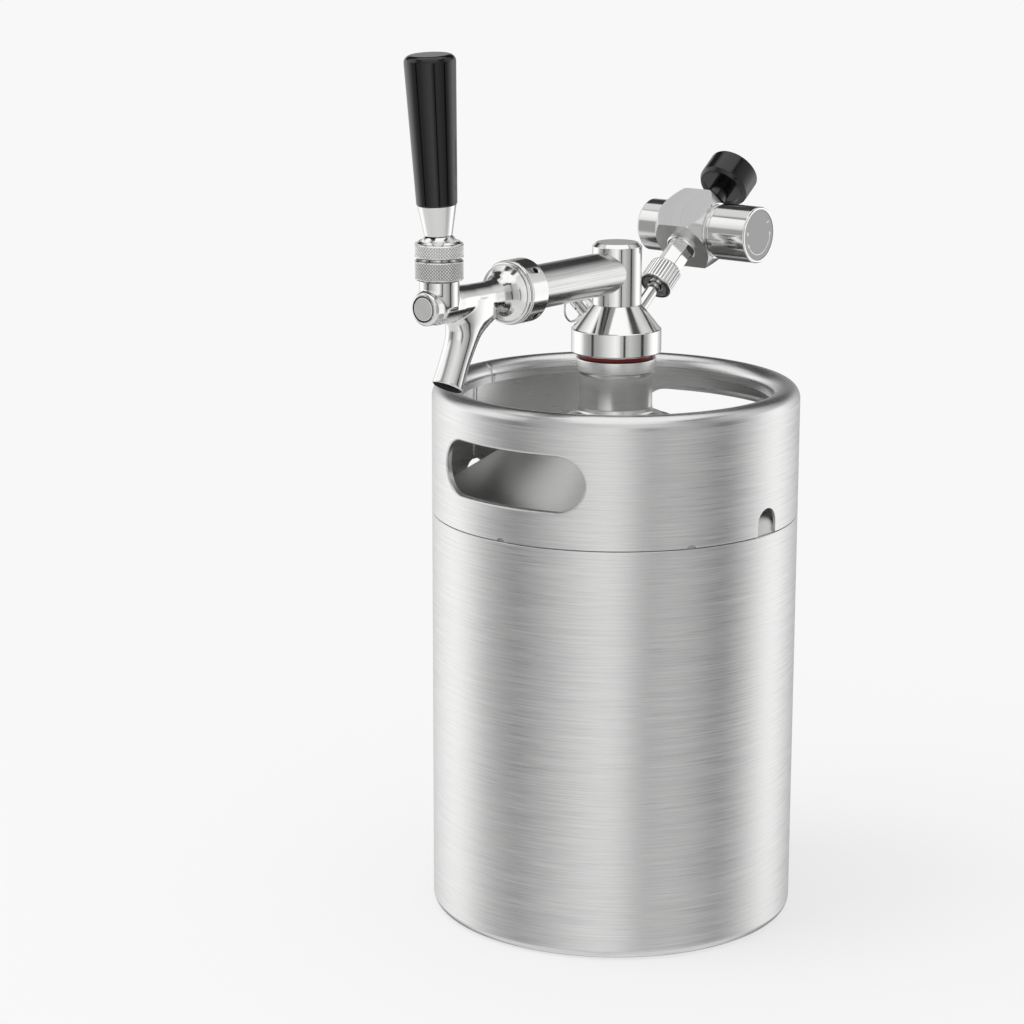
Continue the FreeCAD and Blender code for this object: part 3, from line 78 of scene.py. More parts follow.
def around_axis(tree):
    """Sockets for the piece's own place: the point, its X, Y and Z, and its radius from Z."""
    place = add(tree, "TexCoord").outputs["Object"]
    x, y, z = add(tree, "SeparateXYZ", {0: place}).outputs
    flat = add(tree, "CombineXYZ", {0: x, 1: y}).outputs[0]
    radius = add(tree, "VectorMath", {0: flat}, operation="LENGTH").outputs["Value"]
    return place, x, y, z, radius


def brushed_steel(name, colour_low, colour_high, rough_low, rough_high, streak, bump):
    """Grit-brushed 304 stainless: fine scratches run round the piece's own Z axis, so
    highlights spread along Z and break up line by line."""
    material, tree, shader = new_material(name, Metallic=1.0, Anisotropic=0.45)
    place, x, y, z, radius = around_axis(tree)
    across = add(tree, "Math", {0: radius, 1: z}, operation="SUBTRACT").outputs[0]
    joined = add(tree, "CombineXYZ", {0: x, 1: y, 2: across}).outputs[0]
    stretch = (1 / SCRATCH_LENGTH, 1 / SCRATCH_LENGTH, 1 / streak)
    line = add(tree, "VectorMath", {0: joined, 1: stretch}, operation="MULTIPLY").outputs[0]
    scratch = add(tree, "TexNoise", {"Vector": line, "Scale": 1.0, "Detail": 3.0, "Roughness": 0.7})
    tone = add(tree, "TexNoise", {"Vector": place, "Scale": 1 / CLOUD, "Detail": 2.0})
    shade = add(tree, "ValToRGB", {0: scratch.outputs[0]})
    shade.color_ramp.elements[0].position = 0.3
    shade.color_ramp.elements[1].position = 0.7
    shade.color_ramp.elements[0].color = linear(colour_low)
    shade.color_ramp.elements[1].color = linear(colour_high)
    tree.links.new(shade.outputs[0], shader.inputs["Base Color"])
    cloud = add(tree, "Math", {0: tone.outputs[0], 1: 0.1}, operation="MULTIPLY").outputs[0]
    mixed = add(tree, "Math", {0: scratch.outputs[0], 1: cloud}, operation="ADD").outputs[0]
    rough = add(tree, "MapRange", {0: mixed, 1: 0.35, 2: 0.75, 3: rough_low, 4: rough_high})
    tree.links.new(rough.outputs[0], shader.inputs["Roughness"])
    relief = add(tree, "Bump", {"Height": scratch.outputs[0], "Strength": bump, "Distance": 0.00004})
    tree.links.new(relief.outputs[0], shader.inputs["Normal"])
    grain = add(tree, "Tangent", direction_type="RADIAL", axis="Z")
    tree.links.new(grain.outputs[0], shader.inputs["Tangent"])
    return material


# Real scratches are about 0.05 mm apart; they are drawn at 0.5 mm so that they show
SCRATCH_LENGTH = 0.03
CLOUD = 0.09
KEG_SCRATCH = 0.00048
SEAM_GAP = 0.45
keg_steel = brushed_steel("brushed_304_stainless", "CACACA", "E4E4E3", 0.27, 0.37, KEG_SCRATCH, 0.22)


def turned(name, corners, material, place=None, edge=0.15, segments=160, relief=None, step=None):
    """A turned piece from a closed half section of (radius, height[, rounding]) in mm.
    relief(angle, radius, height) may move a point's radius, with points every step."""
    outline = []
    for i, corner in enumerate(corners):
        here = Vector(corner[:2])
        back = Vector(corners[i - 1][:2]) - here
        ahead = Vector(corners[(i + 1) % len(corners)][:2]) - here
        rounding = corner[2] if len(corner) > 2 else edge
        half = back.angle(ahead) / 2
        if here.x == 0 or rounding == 0 or half > math.radians(87):
            outline.append(here)
            continue
        reach = min(rounding / math.tan(half), 0.49 * back.length, 0.49 * ahead.length)
        start, end = here + back.normalized() * reach, here + ahead.normalized() * reach
        centre = here + (back.normalized() + ahead.normalized()).normalized() * (reach / math.cos(half))
        steps = max(2, math.ceil((math.pi - 2 * half) / math.radians(11)))
        for k in range(steps + 1):
            part = start.lerp(end, k / steps) - centre
            outline.append(centre + part.normalized() * (start - centre).length)
    if step:
        dense = []
        for i, here in enumerate(outline):
            ahead = outline[(i + 1) % len(outline)]
            count = max(1, math.ceil((ahead - here).length / step))
            dense += [here.lerp(ahead, k / count) for k in range(count)]
        outline = dense
    mesh = bmesh.new()
    rings = []
    for point in outline:
        if point.x < 1e-6:
            rings.append([mesh.verts.new((0, 0, point.y * MM))])
            continue
        ring = []
        for j in range(segments):
            angle = 2 * math.pi * j / segments
            radius = relief(angle, point.x, point.y) if relief else point.x
            spot = Vector((radius * math.cos(angle), radius * math.sin(angle), point.y))
            ring.append(mesh.verts.new(spot * MM))
        rings.append(ring)
    for low, high in zip(rings, rings[1:] + rings[:1]):
        if len(low) == 1 and len(high) == 1:
            continue
        for j in range(segments):
            k = (j + 1) % segments
            face = [low[j % len(low)], low[k % len(low)], high[k % len(high)], high[j % len(high)]]
            mesh.faces.new(list(dict.fromkeys(face)))
    return finished(name, mesh, material, place)


def finished(name, mesh, material, place=None, weighted=True):
    """Turn a bmesh into a smooth-shaded object at its place."""
    bmesh.ops.recalc_face_normals(mesh, faces=mesh.faces)
    data = bpy.data.meshes.new(name)
    mesh.to_mesh(data)
    mesh.free()
    data.shade_smooth()
    data.materials.append(material)
    piece = bpy.data.objects.new(name, data)
    bpy.context.scene.collection.objects.link(piece)
    if place:
        piece.matrix_world = place
    if weighted:
        piece.modifiers.new("even_normals", "WEIGHTED_NORMAL").weight = 70
    return piece


def seat(piece, body, slot, *replaced):
    """Say which body the piece rides on and hide the nodes it stands for; slot is not used."""
    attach(piece, body)
    if replaced:
        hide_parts(*replaced)
    return piece


keg_body = turned("keg_body_shell", [
    (0, 9), (60, 9, 3), (74, 0, 3), (KEG_RADIUS, 0, 4), (KEG_RADIUS, SEAM_HEIGHT - SEAM_GAP, 0.6),
    (KEG_RADIUS - KEG_WALL, SEAM_HEIGHT - SEAM_GAP, 0.2), (KEG_RADIUS - KEG_WALL, 1.2, 2.8),
    (74.6, 1.2, 1.8), (60.6, 10.2, 3), (0, 10.2),
], keg_steel, segments=256)
seat(keg_body, "keg", "keg_steel", "keg_body")

# Top dome: the drawn shoulder inside the chime, of the same sheet, left with the
# satin of the press. The neck is welded in its flat.
# Painted shade: the dome's steel is coloured darker than the keg's own sheet, standing for the shade
# under the chime.
dome_steel_painted_shade = brushed_steel("satin_pressed_stainless_painted_shade", "B4B4B3", "BABAB9", 0.3, 0.36, 0.0008, 0.02)
dome = turned("top_dome_shell", [
    (83.8, 183), (83.8, 197.5, 8), (27, 234, 8), (16.9, 234, 0), (16.9, 232.8, 0),
    (26.6, 232.8, 6.8), (82.6, 196.9, 6.8), (82.6, 183),
], dome_steel_painted_shade, segments=256)
seat(dome, "keg", "keg_steel", "top_dome")

# Top chime: a rolled skirt of brushed sheet, curled inward at the rim. Two hand slots
# have turned-in lips, and its lower edge has two drain arches and six weld notches.
CHIME_TOP = 250.6
RIM_ROUND = 6.1
RIM_LIP = 241.5
RIM_INNER = 72.6
SLOT_HALF = 38.9
SLOT_RADIUS = 12.65
SLOT_LEVEL = 207 + SLOT_RADIUS
LIP_ROUND = 1.1
LIP_DEPTH = 3.5
COLUMNS = 720
ROWS = 66
ROUND_STEP = 7.5
RIM_BEND = 244.2
WELD_SINK = 0.34
WELD_HALF_WIDTH = 0.9


def chime_outline():
    """Points (radius, height) up the wall, over the rolled rim and down its lip."""
    top = CHIME_TOP - RIM_ROUND
    points = [(KEG_RADIUS, SEAM_HEIGHT + k * (top - SEAM_HEIGHT) / ROWS) for k in range(ROWS + 1)]
    quarters = ((KEG_RADIUS - RIM_ROUND, ROUND_STEP, 12), (RIM_INNER + RIM_ROUND, 90, 13))
    for middle, first, count in quarters:
        for k in range(count):
            angle = math.radians(first + ROUND_STEP * k)
            points.append((middle + RIM_ROUND * math.cos(angle), top + RIM_ROUND * math.sin(angle)))
    return points + [(RIM_INNER, top - 1.5), (RIM_INNER, RIM_LIP)]


def stadium(across, up, half, radius, level, height):
    """Nearest point of a slot's centre line, and the distance outside its edge."""
    near = Vector((max(-half, min(half, across)), max(level, min(level + height, up))))
    away = Vector((across, up)) - near
    return near, away, away.length - radius


def chime_shapes(angle, height):
    """The cut-outs near a point of the wall: (name, across, its slot numbers)."""
    x, y = KEG_RADIUS * math.cos(angle), KEG_RADIUS * math.sin(angle)
    slot = (SLOT_HALF - SLOT_RADIUS, SLOT_RADIUS + LIP_ROUND, SLOT_LEVEL, 0)
    found = [("front" if y < 0 else "back", x, slot)]
    if abs(y) < 20:
        found.append(("arch_right" if x > 0 else "arch_left", y, (0, 7, SEAM_HEIGHT - 10, 15)))
    sixth = math.pi / 3
    shifted = (angle + math.pi / 2) % sixth
    offset = shifted - sixth if shifted > sixth / 2 else shifted
    index = round((angle + math.pi / 2 - offset) / sixth) % 6
    found.append(("notch_%d" % index, offset * KEG_RADIUS, (0, 2.5, SEAM_HEIGHT - 1, 0)))
    return found


outline = chime_outline()
mesh = bmesh.new()
grid = []
for radius, height in outline:
    row = []
    for j in range(COLUMNS):
        angle = 2 * math.pi * j / COLUMNS
        # The sheet's butt weld is ground to a shallow dip on the left side
        from_weld = (angle - math.pi) * KEG_RADIUS / WELD_HALF_WIDTH
        reach = radius - WELD_SINK * math.exp(-from_weld ** 2)
        spot = Vector((reach * math.cos(angle), reach * math.sin(angle), height))
        row.append(mesh.verts.new(spot * MM))
    grid.append(row)
edges_of = {}
for i in range(len(outline) - 1):
    for j in range(COLUMNS):
        k = (j + 1) % COLUMNS
        angle = 2 * math.pi * (j + 0.5) / COLUMNS
        height = (outline[i][1] + outline[i + 1][1]) / 2
        corners = [grid[i][j], grid[i][k], grid[i + 1][k], grid[i + 1][j]]
        hole = None
        if i < ROWS:
            for name, across, numbers in chime_shapes(angle, height):
                if stadium(across, height, *numbers)[2] < 0:
                    hole = name
        if hole:
            for vertex in corners:
                edges_of.setdefault(hole, set()).add(vertex)
        else:
            mesh.faces.new(corners)
for name, touched in edges_of.items():
    for vertex in touched:
        if not vertex.link_faces:
            continue
        angle = math.atan2(vertex.co.y, vertex.co.x)
        height = vertex.co.z / MM
        across, numbers = [(a, n) for found, a, n in chime_shapes(angle, height) if found == name][0]
        near, away, distance = stadium(across, height, *numbers)
        moved = near + away.normalized() * numbers[1]
        if name in ("front", "back"):
            side = -1 if name == "front" else 1
            x = moved.x
            y = side * math.sqrt(KEG_RADIUS ** 2 - x ** 2)
        elif name.startswith("arch"):
            side = 1 if name == "arch_right" else -1
            y = moved.x
            x = side * math.sqrt(KEG_RADIUS ** 2 - y ** 2)
        else:
            turn = angle + (moved.x - across) / KEG_RADIUS
            x, y = KEG_RADIUS * math.cos(turn), KEG_RADIUS * math.sin(turn)
        vertex.co = Vector((x, y, max(moved.y, SEAM_HEIGHT))) * MM
for vertex in [v for v in mesh.verts if not v.link_faces]:
    mesh.verts.remove(vertex)
bmesh.ops.dissolve_degenerate(mesh, dist=0.00002, edges=mesh.edges)
for side, name in ((-1, "front"), (1, "back")):
    rim = [e for e in mesh.edges if e.is_boundary and all(
        v in edges_of[name] for v in e.verts)]
    current = {v: v for e in rim for v in e.verts}
    rest = {v: v.co.copy() for v in current}
    edge_pairs = [tuple(e.verts) for e in rim]
    for k in range(1, 9):
        turn = min(k / 6, 1) * math.pi / 2
        inset = LIP_ROUND * math.sin(turn)
        depth = LIP_ROUND * (1 - math.cos(turn)) + max(0, k - 6) / 2 * (LIP_DEPTH - LIP_ROUND)
        following = {}
        for start, position in rest.items():
            point = Vector((position.x / MM, position.z / MM))
            near, away, distance = stadium(
                point.x, point.y, SLOT_HALF - SLOT_RADIUS, SLOT_RADIUS, SLOT_LEVEL, 0)
            moved = near + away.normalized() * (SLOT_RADIUS + LIP_ROUND - inset)
            y = side * (math.sqrt(KEG_RADIUS ** 2 - moved.x ** 2) - depth)
            following[start] = mesh.verts.new(Vector((moved.x, y, moved.y)) * MM)
        for a, b in edge_pairs:
            mesh.faces.new([current[a], current[b], following[b], following[a]])
        current = following
chime = finished("top_chime_shell", mesh, keg_steel, weighted=False)
rim_steel = brushed_steel("satin_rolled_rim", "CECECE", "D4D4D3", 0.24, 0.28, 0.0009, 0.015)
chime.data.materials.append(rim_steel)
chime.data.materials.append(rim_steel)
for polygon in chime.data.polygons:
    polygon.material_index = 1 if polygon.center.z > RIM_BEND * MM else 0
sheet = chime.modifiers.new("sheet", "SOLIDIFY")
sheet.thickness = KEG_WALL * MM
sheet.offset = -1
sheet.material_offset = 1
soft = chime.modifiers.new("deburred_edges", "BEVEL")
soft.width = 0.0002
soft.segments = 2
soft.limit_method = "ANGLE"
soft.angle_limit = math.radians(55)
chime.modifiers.new("even_normals", "WEIGHTED_NORMAL").weight = 60
seat(chime, "keg", "keg_steel", "top_chime")

# Neck: a machined stainless tube welded in the dome. Its lower end flares into a
# weld flange, and the ring at its mouth carries the seal.
THREAD_STEP = 0.6
machined_steel = brushed_steel("turned_stainless", "DEDEDE", "E8E8E7", 0.2, 0.26, 0.0004, 0.04)
neck = turned("neck_turned", [
    (14.3, 228), (16.9, 228), (16.9, 234), (23, 234), (22, 235.6, 0.9), (17.5, 237, 2.2),
    (16.9, 239.9, 3), (16.9, 254.9, 0.4), (18.5, 256.5, 1), (18.5, 262.3, 0.5),
    (14.3, 262.3, 0.4),
] + [(13.7 if k % 2 else 14.3, 261 - THREAD_STEP * k) for k in range(11)], machined_steel, segments=192)
seat(neck, "keg", "machined_steel", "neck")

# Head cap: polished collar and cone turned from bar, with a threaded spigot that
# screws into the neck. Buffing leaves it mirror-like, with faint turning rings.


def polished_steel(name, colour, rough_low, rough_high, ring):
    """Buffed stainless: near-mirror, with faint rings from the lathe round its own Z."""
    material, tree, shader = new_material(name, Metallic=1.0)
    place, _, _, z, radius = around_axis(tree)
    rings = add(tree, "CombineXYZ", {0: radius, 1: z}).outputs[0]
    tooling = add(tree, "TexNoise", {"Vector": rings, "Scale": 1 / ring, "Detail": 2.0})
    haze = add(tree, "TexNoise", {"Vector": place, "Scale": 1 / BUFFING_CLOUD, "Detail": 3.0})
    tint = add(tree, "ValToRGB", {0: haze.outputs[0]})
    tint.color_ramp.elements[0].color = [c * 0.94 for c in linear(colour)[:3]] + [1.0]
    tint.color_ramp.elements[1].color = linear(colour)
    tree.links.new(tint.outputs[0], shader.inputs["Base Color"])
    mixed = add(tree, "Math", {0: tooling.outputs[0], 1: haze.outputs[0]}, operation="ADD").outputs[0]
    rough = add(tree, "MapRange", {0: mixed, 1: 0.7, 2: 1.3, 3: rough_low, 4: rough_high})
    tree.links.new(rough.outputs[0], shader.inputs["Roughness"])
    relief = add(tree, "Bump", {"Height": tooling.outputs[0], "Strength": 0.03, "Distance": 0.00002})
    tree.links.new(relief.outputs[0], shader.inputs["Normal"])
    return material


BUFFING_CLOUD = 0.006
TURNING_RING = 0.0004
polished = polished_steel("buffed_stainless", "E2E2E1", 0.05, 0.13, TURNING_RING)
cap = turned("head_cap_turned", [
    (3.5, 247.3), (13, 247.3), (14, 248.3), (14, 264.6), (20.2, 264.6, 0.3), (20.75, 265.3, 0.4),
    (20.75, 275.6, 0.35), (20.25, 275.9, 0.3), (11.4, 287, 0.3), (3.5, 287),
], polished, edge=0.3, segments=192)
seat(cap, "head", "polished_steel", "head_cap")

# Cap seal: a flat ring of dark red silicone, squeezed so that its edge bulges a little.
# It is the only colour on the part, and it has a soft sheen.


def mottled(name, low, high, per_metre, detail=2.0, **inputs):
    """A material whose colour drifts between two tones, with so many grains to a metre."""
    material, tree, shader = new_material(name, **inputs)
    place = add(tree, "TexCoord").outputs["Object"]
    grain = add(tree, "TexNoise", {"Vector": place, "Scale": per_metre, "Detail": detail}).outputs[0]
    tone = add(tree, "ValToRGB", {0: grain})
    tone.color_ramp.elements[0].color = linear(low)
    tone.color_ramp.elements[1].color = linear(high)
    tree.links.new(tone.outputs[0], shader.inputs["Base Color"])
    return material, tree, shader, grain


silicone, tree, shader, grain = mottled(
    "red_silicone", "6E1A18", "8A2421", 500.0, 3.0, Roughness=0.42, IOR=1.41)
dull = add(tree, "Bump", {"Height": grain, "Strength": 0.15, "Distance": 0.00005})
tree.links.new(dull.outputs[0], shader.inputs["Normal"])
seal = turned("cap_seal_ring", [
    (14.1, 262.3), (17.2, 262.3, 0.5), (17.35, 263.45, 0.8), (17.2, 264.6, 0.5), (14.1, 264.6),
], silicone, segments=128)
seat(seal, "head", "red_rubber", "cap_seal")

# Tower: an upright polished post on the cone, with a broad chamfer round its top.
# The arm tube is welded to its side.
tower = turned("tower_turned", [
    (3.5, 287), (11.4, 287, 0.2), (11.4, 313.6, 0.5), (9.6, 315.4, 0.7), (0, 315.4), (0, 305.4),
    (3.5, 305.4),
], polished, segments=160)
seat(tower, "head", "polished_steel", "tower")

# Arm tube: the beer shank, a thick stainless tube brushed along its length. It is welded
# to the tower and carries the tap on its front end.
ARM_HEIGHT = 301.9
TAP_REACH = 127.0
TUBE_LINE = 0.0005
TUBE_RUN = 0.03
# The arm's axis: its Z points to the front, away from the keg
front_axis = Matrix.Translation((0, 0, ARM_HEIGHT * MM)) @ Matrix.Rotation(math.radians(90), 4, "X")
drawn_tube, tree, shader = new_material("tube_brushed_along", Metallic=1.0)
place = add(tree, "TexCoord").outputs["Object"]
stretched = add(tree, "Mapping", {0: place, 3: (1 / TUBE_LINE, 1 / TUBE_LINE, 1 / TUBE_RUN)})
lines = add(tree, "TexNoise", {
    "Vector": stretched.outputs[0], "Scale": 1.0, "Detail": 3.0, "Roughness": 0.65})
tone = add(tree, "ValToRGB", {0: lines.outputs[0]})
tone.color_ramp.elements[0].position = 0.3
tone.color_ramp.elements[1].position = 0.7
tone.color_ramp.elements[0].color = linear("C0C0BF")
tone.color_ramp.elements[1].color = linear("D8D8D7")
tree.links.new(tone.outputs[0], shader.inputs["Base Color"])
rough = add(tree, "MapRange", {0: lines.outputs[0], 1: 0.3, 2: 0.7, 3: 0.15, 4: 0.24})
tree.links.new(rough.outputs[0], shader.inputs["Roughness"])
lay = add(tree, "Bump", {"Height": lines.outputs[0], "Strength": 0.12, "Distance": 0.00005})
tree.links.new(lay.outputs[0], shader.inputs["Normal"])
arm = turned("arm_tube_turned", [
    (2.5, 5.9), (9.8, 5.9), (9.8, 70.7), (2.5, 70.7),
], drawn_tube, front_axis, segments=128)
seat(arm, "head", "polished_steel", "arm_tube")

# Coupling nut: a round spanner nut that pulls the faucet's flange to the arm. Its
# four radial holes take a hook spanner, and a fine step runs round its front.
# Painted shade: the spanner holes and the faucet's bores are coloured near-black and matt, standing for
# the shade inside them.
painted_bore_shade = mottled("painted_shade_in_bores", "121212", "262626", 900.0, Roughness=0.85)[0]


def apply_modifiers(piece):
    """Replace a piece's mesh by what its modifiers make."""
    graph = bpy.context.evaluated_depsgraph_get()
    piece_data = bpy.data.meshes.new_from_object(piece.evaluated_get(graph))
    piece.modifiers.clear()
    piece.data = piece_data


def cut_with(piece, tools, operation="DIFFERENCE"):
    """Cut a piece with other pieces, which are removed afterwards."""
    for tool in tools:
        knife = piece.modifiers.new("cut", "BOOLEAN")
        knife.operation = operation
        knife.solver = "EXACT"
        knife.material_mode = "TRANSFER"
        knife.object = tool
    bpy.context.view_layer.update()
    apply_modifiers(piece)
    for tool in tools:
        bpy.data.objects.remove(tool)


nut = turned("coupling_nut_turned", [
    (9.8, 67.5), (12.4, 67.5, 0.4), (14.2, 69.3, 0.5), (14.2, 79.3, 0.15), (13.95, 79.5, 0.1),
    (13.95, 79.9, 0.1), (14.15, 80.1, 0.15), (13.9, 80.7, 0.3), (12.9, 80.7, 0.15), (12.9, 70.7),
    (9.8, 70.7),
], polished, front_axis, segments=192)
nut.modifiers.clear()
drills = []
for k in range(4):
    spin = Matrix.Rotation(math.radians(45 + 90 * k), 4, "Z")
    across = Matrix.Translation(Vector((0, 0, 73.4)) * MM) @ Matrix.Rotation(math.radians(90), 4, "Y")
    drills.append(turned("drill", [(0, 10), (1.5, 10, 0), (1.5, 16, 0), (0, 16)], painted_bore_shade,
                         front_axis @ spin @ across, segments=32))
cut_with(nut, drills)
nut.modifiers.new("even_normals", "WEIGHTED_NORMAL").weight = 70
seat(nut, "head", "polished_steel", "coupling_nut")

# Faucet body: a polished casting. The barrel swells into a bell at the nut, the lever
# neck stands up from it, and the spout curves down and forward; blends join them.
LOBES = 64


def tube_mesh(name, sections, material):
    """A closed solid through ellipses: (y, z, half length, half width, lean) in mm, with
    y and z from the lever's axis and the lean in degrees."""
    solid = bmesh.new()
    rings = []
    for y, z, length, width, lean in sections:
        turn = math.radians(lean)
        ring = []
        for j in range(LOBES):
            angle = 2 * math.pi * j / LOBES
            along = length * math.sin(angle)
            ring.append(solid.verts.new(Vector((
                width * math.cos(angle),
                y - TAP_REACH + along * math.cos(turn),
                z + ARM_HEIGHT - along * math.sin(turn))) * MM))
        rings.append(ring)
    for low, high in zip(rings, rings[1:]):
        for j in range(LOBES):
            k = (j + 1) % LOBES
            solid.faces.new([low[j], low[k], high[k], high[j]])
    solid.faces.new(rings[0])
    solid.faces.new(rings[-1])
    return finished(name, solid, material, weighted=False)


def between(sections, count):
    """Smooth in-between sections through the given ones."""
    smooth = []
    for i in range(len(sections) - 1):
        before = sections[max(i - 1, 0)]
        after = sections[min(i + 2, len(sections) - 1)]
        for k in range(count):
            t = k / count
            smooth.append([0.5 * (2 * b + (c - a) * t + (2 * a - 5 * b + 4 * c - d) * t * t
                                  + (3 * b - a - 3 * c + d) * t ** 3)
                           for a, b, c, d in zip(before, sections[i], sections[i + 1], after)])
    return smooth + [list(sections[-1])]


spout_line = [
    (21.0, 1.0, 19.0, 7.4, 0.0),
    (20.4, -7.0, 16.6, 7.1, 4.0),
    (18.6, -9.6, 12.8, 7.0, 10.0),
    (16.4, -12.6, 9.7, 6.9, 16.0),
    (14.4, -17.2, 7.5, 6.8, 21.0),
    (9.4, -27.0, 6.5, 6.7, 25.0),
    (5.2, -36.0, 6.9, 7.1, 30.0),
]
casting = turned("faucet_body_cast", [
    (0, 71.9), (12.8, 71.9), (12.8, 81.6), (11.6, 82.6), (9.8, 84.2), (8.3, 87), (7.3, 91), (6.9, 97),
    (7.1, 108), (7.7, 118), (7.8, 131), (7.4, 132), (7.4, 136.6), (6.4, 137.8), (0, 137.8),
], polished, front_axis, edge=0, segments=96)
casting.modifiers.clear()
lever_foot = Matrix.Translation(Vector((0, -TAP_REACH, ARM_HEIGHT)) * MM)
lever_neck = turned("lever_neck", [
    (0, 0), (8.6, 0), (8.6, 11.5), (7.6, 11.5), (7.6, 23.2), (0, 23.2),
], polished, lever_foot, edge=0, segments=96)
spout = tube_mesh("spout", between(spout_line, 8), polished)
cut_with(casting, [lever_neck, spout], "UNION")
blend = casting.modifiers.new("casting_blend", "REMESH")
blend.mode = "VOXEL"
blend.voxel_size = 0.0004
relax = casting.modifiers.new("polish", "SMOOTH")
relax.factor = 0.5
relax.iterations = 14
apply_modifiers(casting)
bore_line = [
    (17.5, 0.0, 4.7, 4.7, 0.0),
    (16.6, -9.6, 5.2, 5.2, 12.0),
    (14.4, -17.2, 5.2, 5.2, 21.0),
    (9.4, -27.0, 5.3, 5.3, 25.0),
    (6.4, -33.4, 5.5, 5.6, 28.0),
    (5.2, -36.0, 6.2, 6.4, 30.0),
    (3.6, -39.4, 6.9, 7.1, 30.0),
]
spout_bore = tube_mesh("spout_bore", between(bore_line, 6), painted_bore_shade)
valve_way = turned("valve_way", [
    (0, 70), (6, 70), (6, 96), (4.3, 96), (4.3, 100), (4.7, 100), (4.7, 134.4), (5.65, 134.4),
    (5.65, 142), (0, 142),
], painted_bore_shade, front_axis, edge=0, segments=64)
neck_way = turned("neck_way", [(0, 0), (6, 0), (6, 27), (0, 27)], painted_bore_shade, lever_foot,
                  edge=0, segments=64)
casting.data.materials.clear()
casting.data.materials.append(polished)
cut_with(casting, [spout_bore, valve_way, neck_way])
casting.data.shade_smooth()
casting.data.set_sharp_from_angle(angle=math.radians(50))
seat(casting, "head", "polished_steel", "faucet_body")
flange_rim = turned("faucet_flange_rim", [
    (10, 80.75), (12.9, 80.75), (13.6, 81.1, 0.2), (13.6, 81.9, 0.25), (12.9, 82.3, 0.2),
    (12.2, 82.1), (10, 82.1),
], polished, front_axis, segments=160)
seat(flange_rim, "head", "polished_steel")

# Faucet end cap: a turned stainless plug that closes the barrel's front boss. Its face is
# left satin by the facing cut, and a dark gap shows round it.
faced_steel = brushed_steel("faced_plug_satin", "DEDEDD", "E8E8E7", 0.34, 0.44, 0.0003, 0.05)
plug = turned("faucet_end_cap_turned", [
    (0, 134.5), (5.5, 134.5), (5.5, 135.2, 0.1), (5.1, 135.6, 0.1), (5.1, 137.6, 0.4),
    (4.8, 137.9, 0.4), (0, 137.9),
], faced_steel, front_axis, segments=96)
seat(plug, "head", "dark_steel", "faucet_end_cap")

# Knurled rings: the lock ring and the bonnet, turned from stainless bar and screwed on the
# lever neck. Their diamond knurl is rolled; the diamonds are really about 0.8 mm across
# and are drawn at 1.4 mm, so that they glitter at the picture's size.
KNURL_DEPTH = 0.42
DIAMONDS = 46


def knurl(base, top, face_radius):
    """Relief for a rolled diamond knurl on the face between two heights."""
    pitch = 2 * math.pi * face_radius / DIAMONDS

    def relief(angle, radius, height):
        if abs(radius - face_radius) > 0.02 or not base < height < top:
            return radius
        turns = angle * DIAMONDS / (2 * math.pi)
        rise = height / pitch
        one = abs((turns + rise) % 1 - 0.5) * 2
        other = abs((turns - rise) % 1 - 0.5) * 2
        return radius - KNURL_DEPTH * max(one, other) ** 1.5

    return relief


def knurled_steel(name, valley, tip):
    """Knurled stainless, full colour at its tips and darker towards its valleys, by radius in mm:
    painted shade in the hollows of the knurl.
    """
    material = polished_steel(name, "F4F4F3", 0.1, 0.2, TURNING_RING)
    tree = material.node_tree
    shader = tree.nodes["Principled BSDF"]
    radius = around_axis(tree)[-1]
    height = add(tree, "MapRange", {0: radius, 1: valley * MM, 2: tip * MM})
    # Painted shade: the colour darkens from the tips down into the valleys, standing for the shade
    # between the diamonds and grooves.
    painted_valley_shade = add(tree, "ValToRGB", {0: height.outputs[0]})
    painted_valley_shade.color_ramp.elements[0].color = linear("8E8E8E")
    painted_valley_shade.color_ramp.elements[1].color = linear("FFFFFF")
    before = shader.inputs["Base Color"].links[0].from_socket
    colour_with_painted_shade = add(tree, "Mix", {0: 1.0, 6: before, 7: painted_valley_shade.outputs[0]}, data_type="RGBA",
                 blend_type="MULTIPLY")
    tree.links.new(colour_with_painted_shade.outputs[2], shader.inputs["Base Color"])
    return material


# Painted shade darkens the diamond knurl's valleys, from 10.4 mm radius down to 10.0 mm.
knurled = knurled_steel("diamond_knurled_stainless", 10.0, 10.4)
lock_ring = turned("neck_ring_knurled", [
    (7.6, 11.5), (9.8, 11.5, 0.1), (10.4, 12.1, 0.05), (10.4, 19.5, 0.05), (9.9, 20, 0.1), (7.6, 20),
], knurled, lever_foot, segments=DIAMONDS * 8, relief=knurl(12.2, 19.4, 10.4), step=0.2)
lock_ring.data.shade_flat()
seat(lock_ring, "head", "knurled_steel", "neck_ring")
nodes["bonnet"].data.materials.clear()
nodes["bonnet"].data.materials.append(polished)
bonnet_band = turned("bonnet_knurl_band", [
    (9.0, 21), (10.0, 21, 0.1), (10.5, 21.4, 0.05), (10.5, 26.5, 0.05), (10.3, 26.7, 0.1), (9.0, 26.7),
], knurled, lever_foot, segments=DIAMONDS * 8, relief=knurl(21.5, 26.4, 10.5), step=0.2)
bonnet_band.data.shade_flat()
seat(bonnet_band, "head", "knurled_steel")
bonnet_shoulder = turned("bonnet_shoulder", [
    (8.4, 26.5), (10.4, 26.5, 0.1), (10.3, 26.8, 0.1), (8.7, 28.1, 0.2), (8.4, 28, 0.1),
], polished, lever_foot, segments=128)
seat(bonnet_shoulder, "head", "polished_steel")

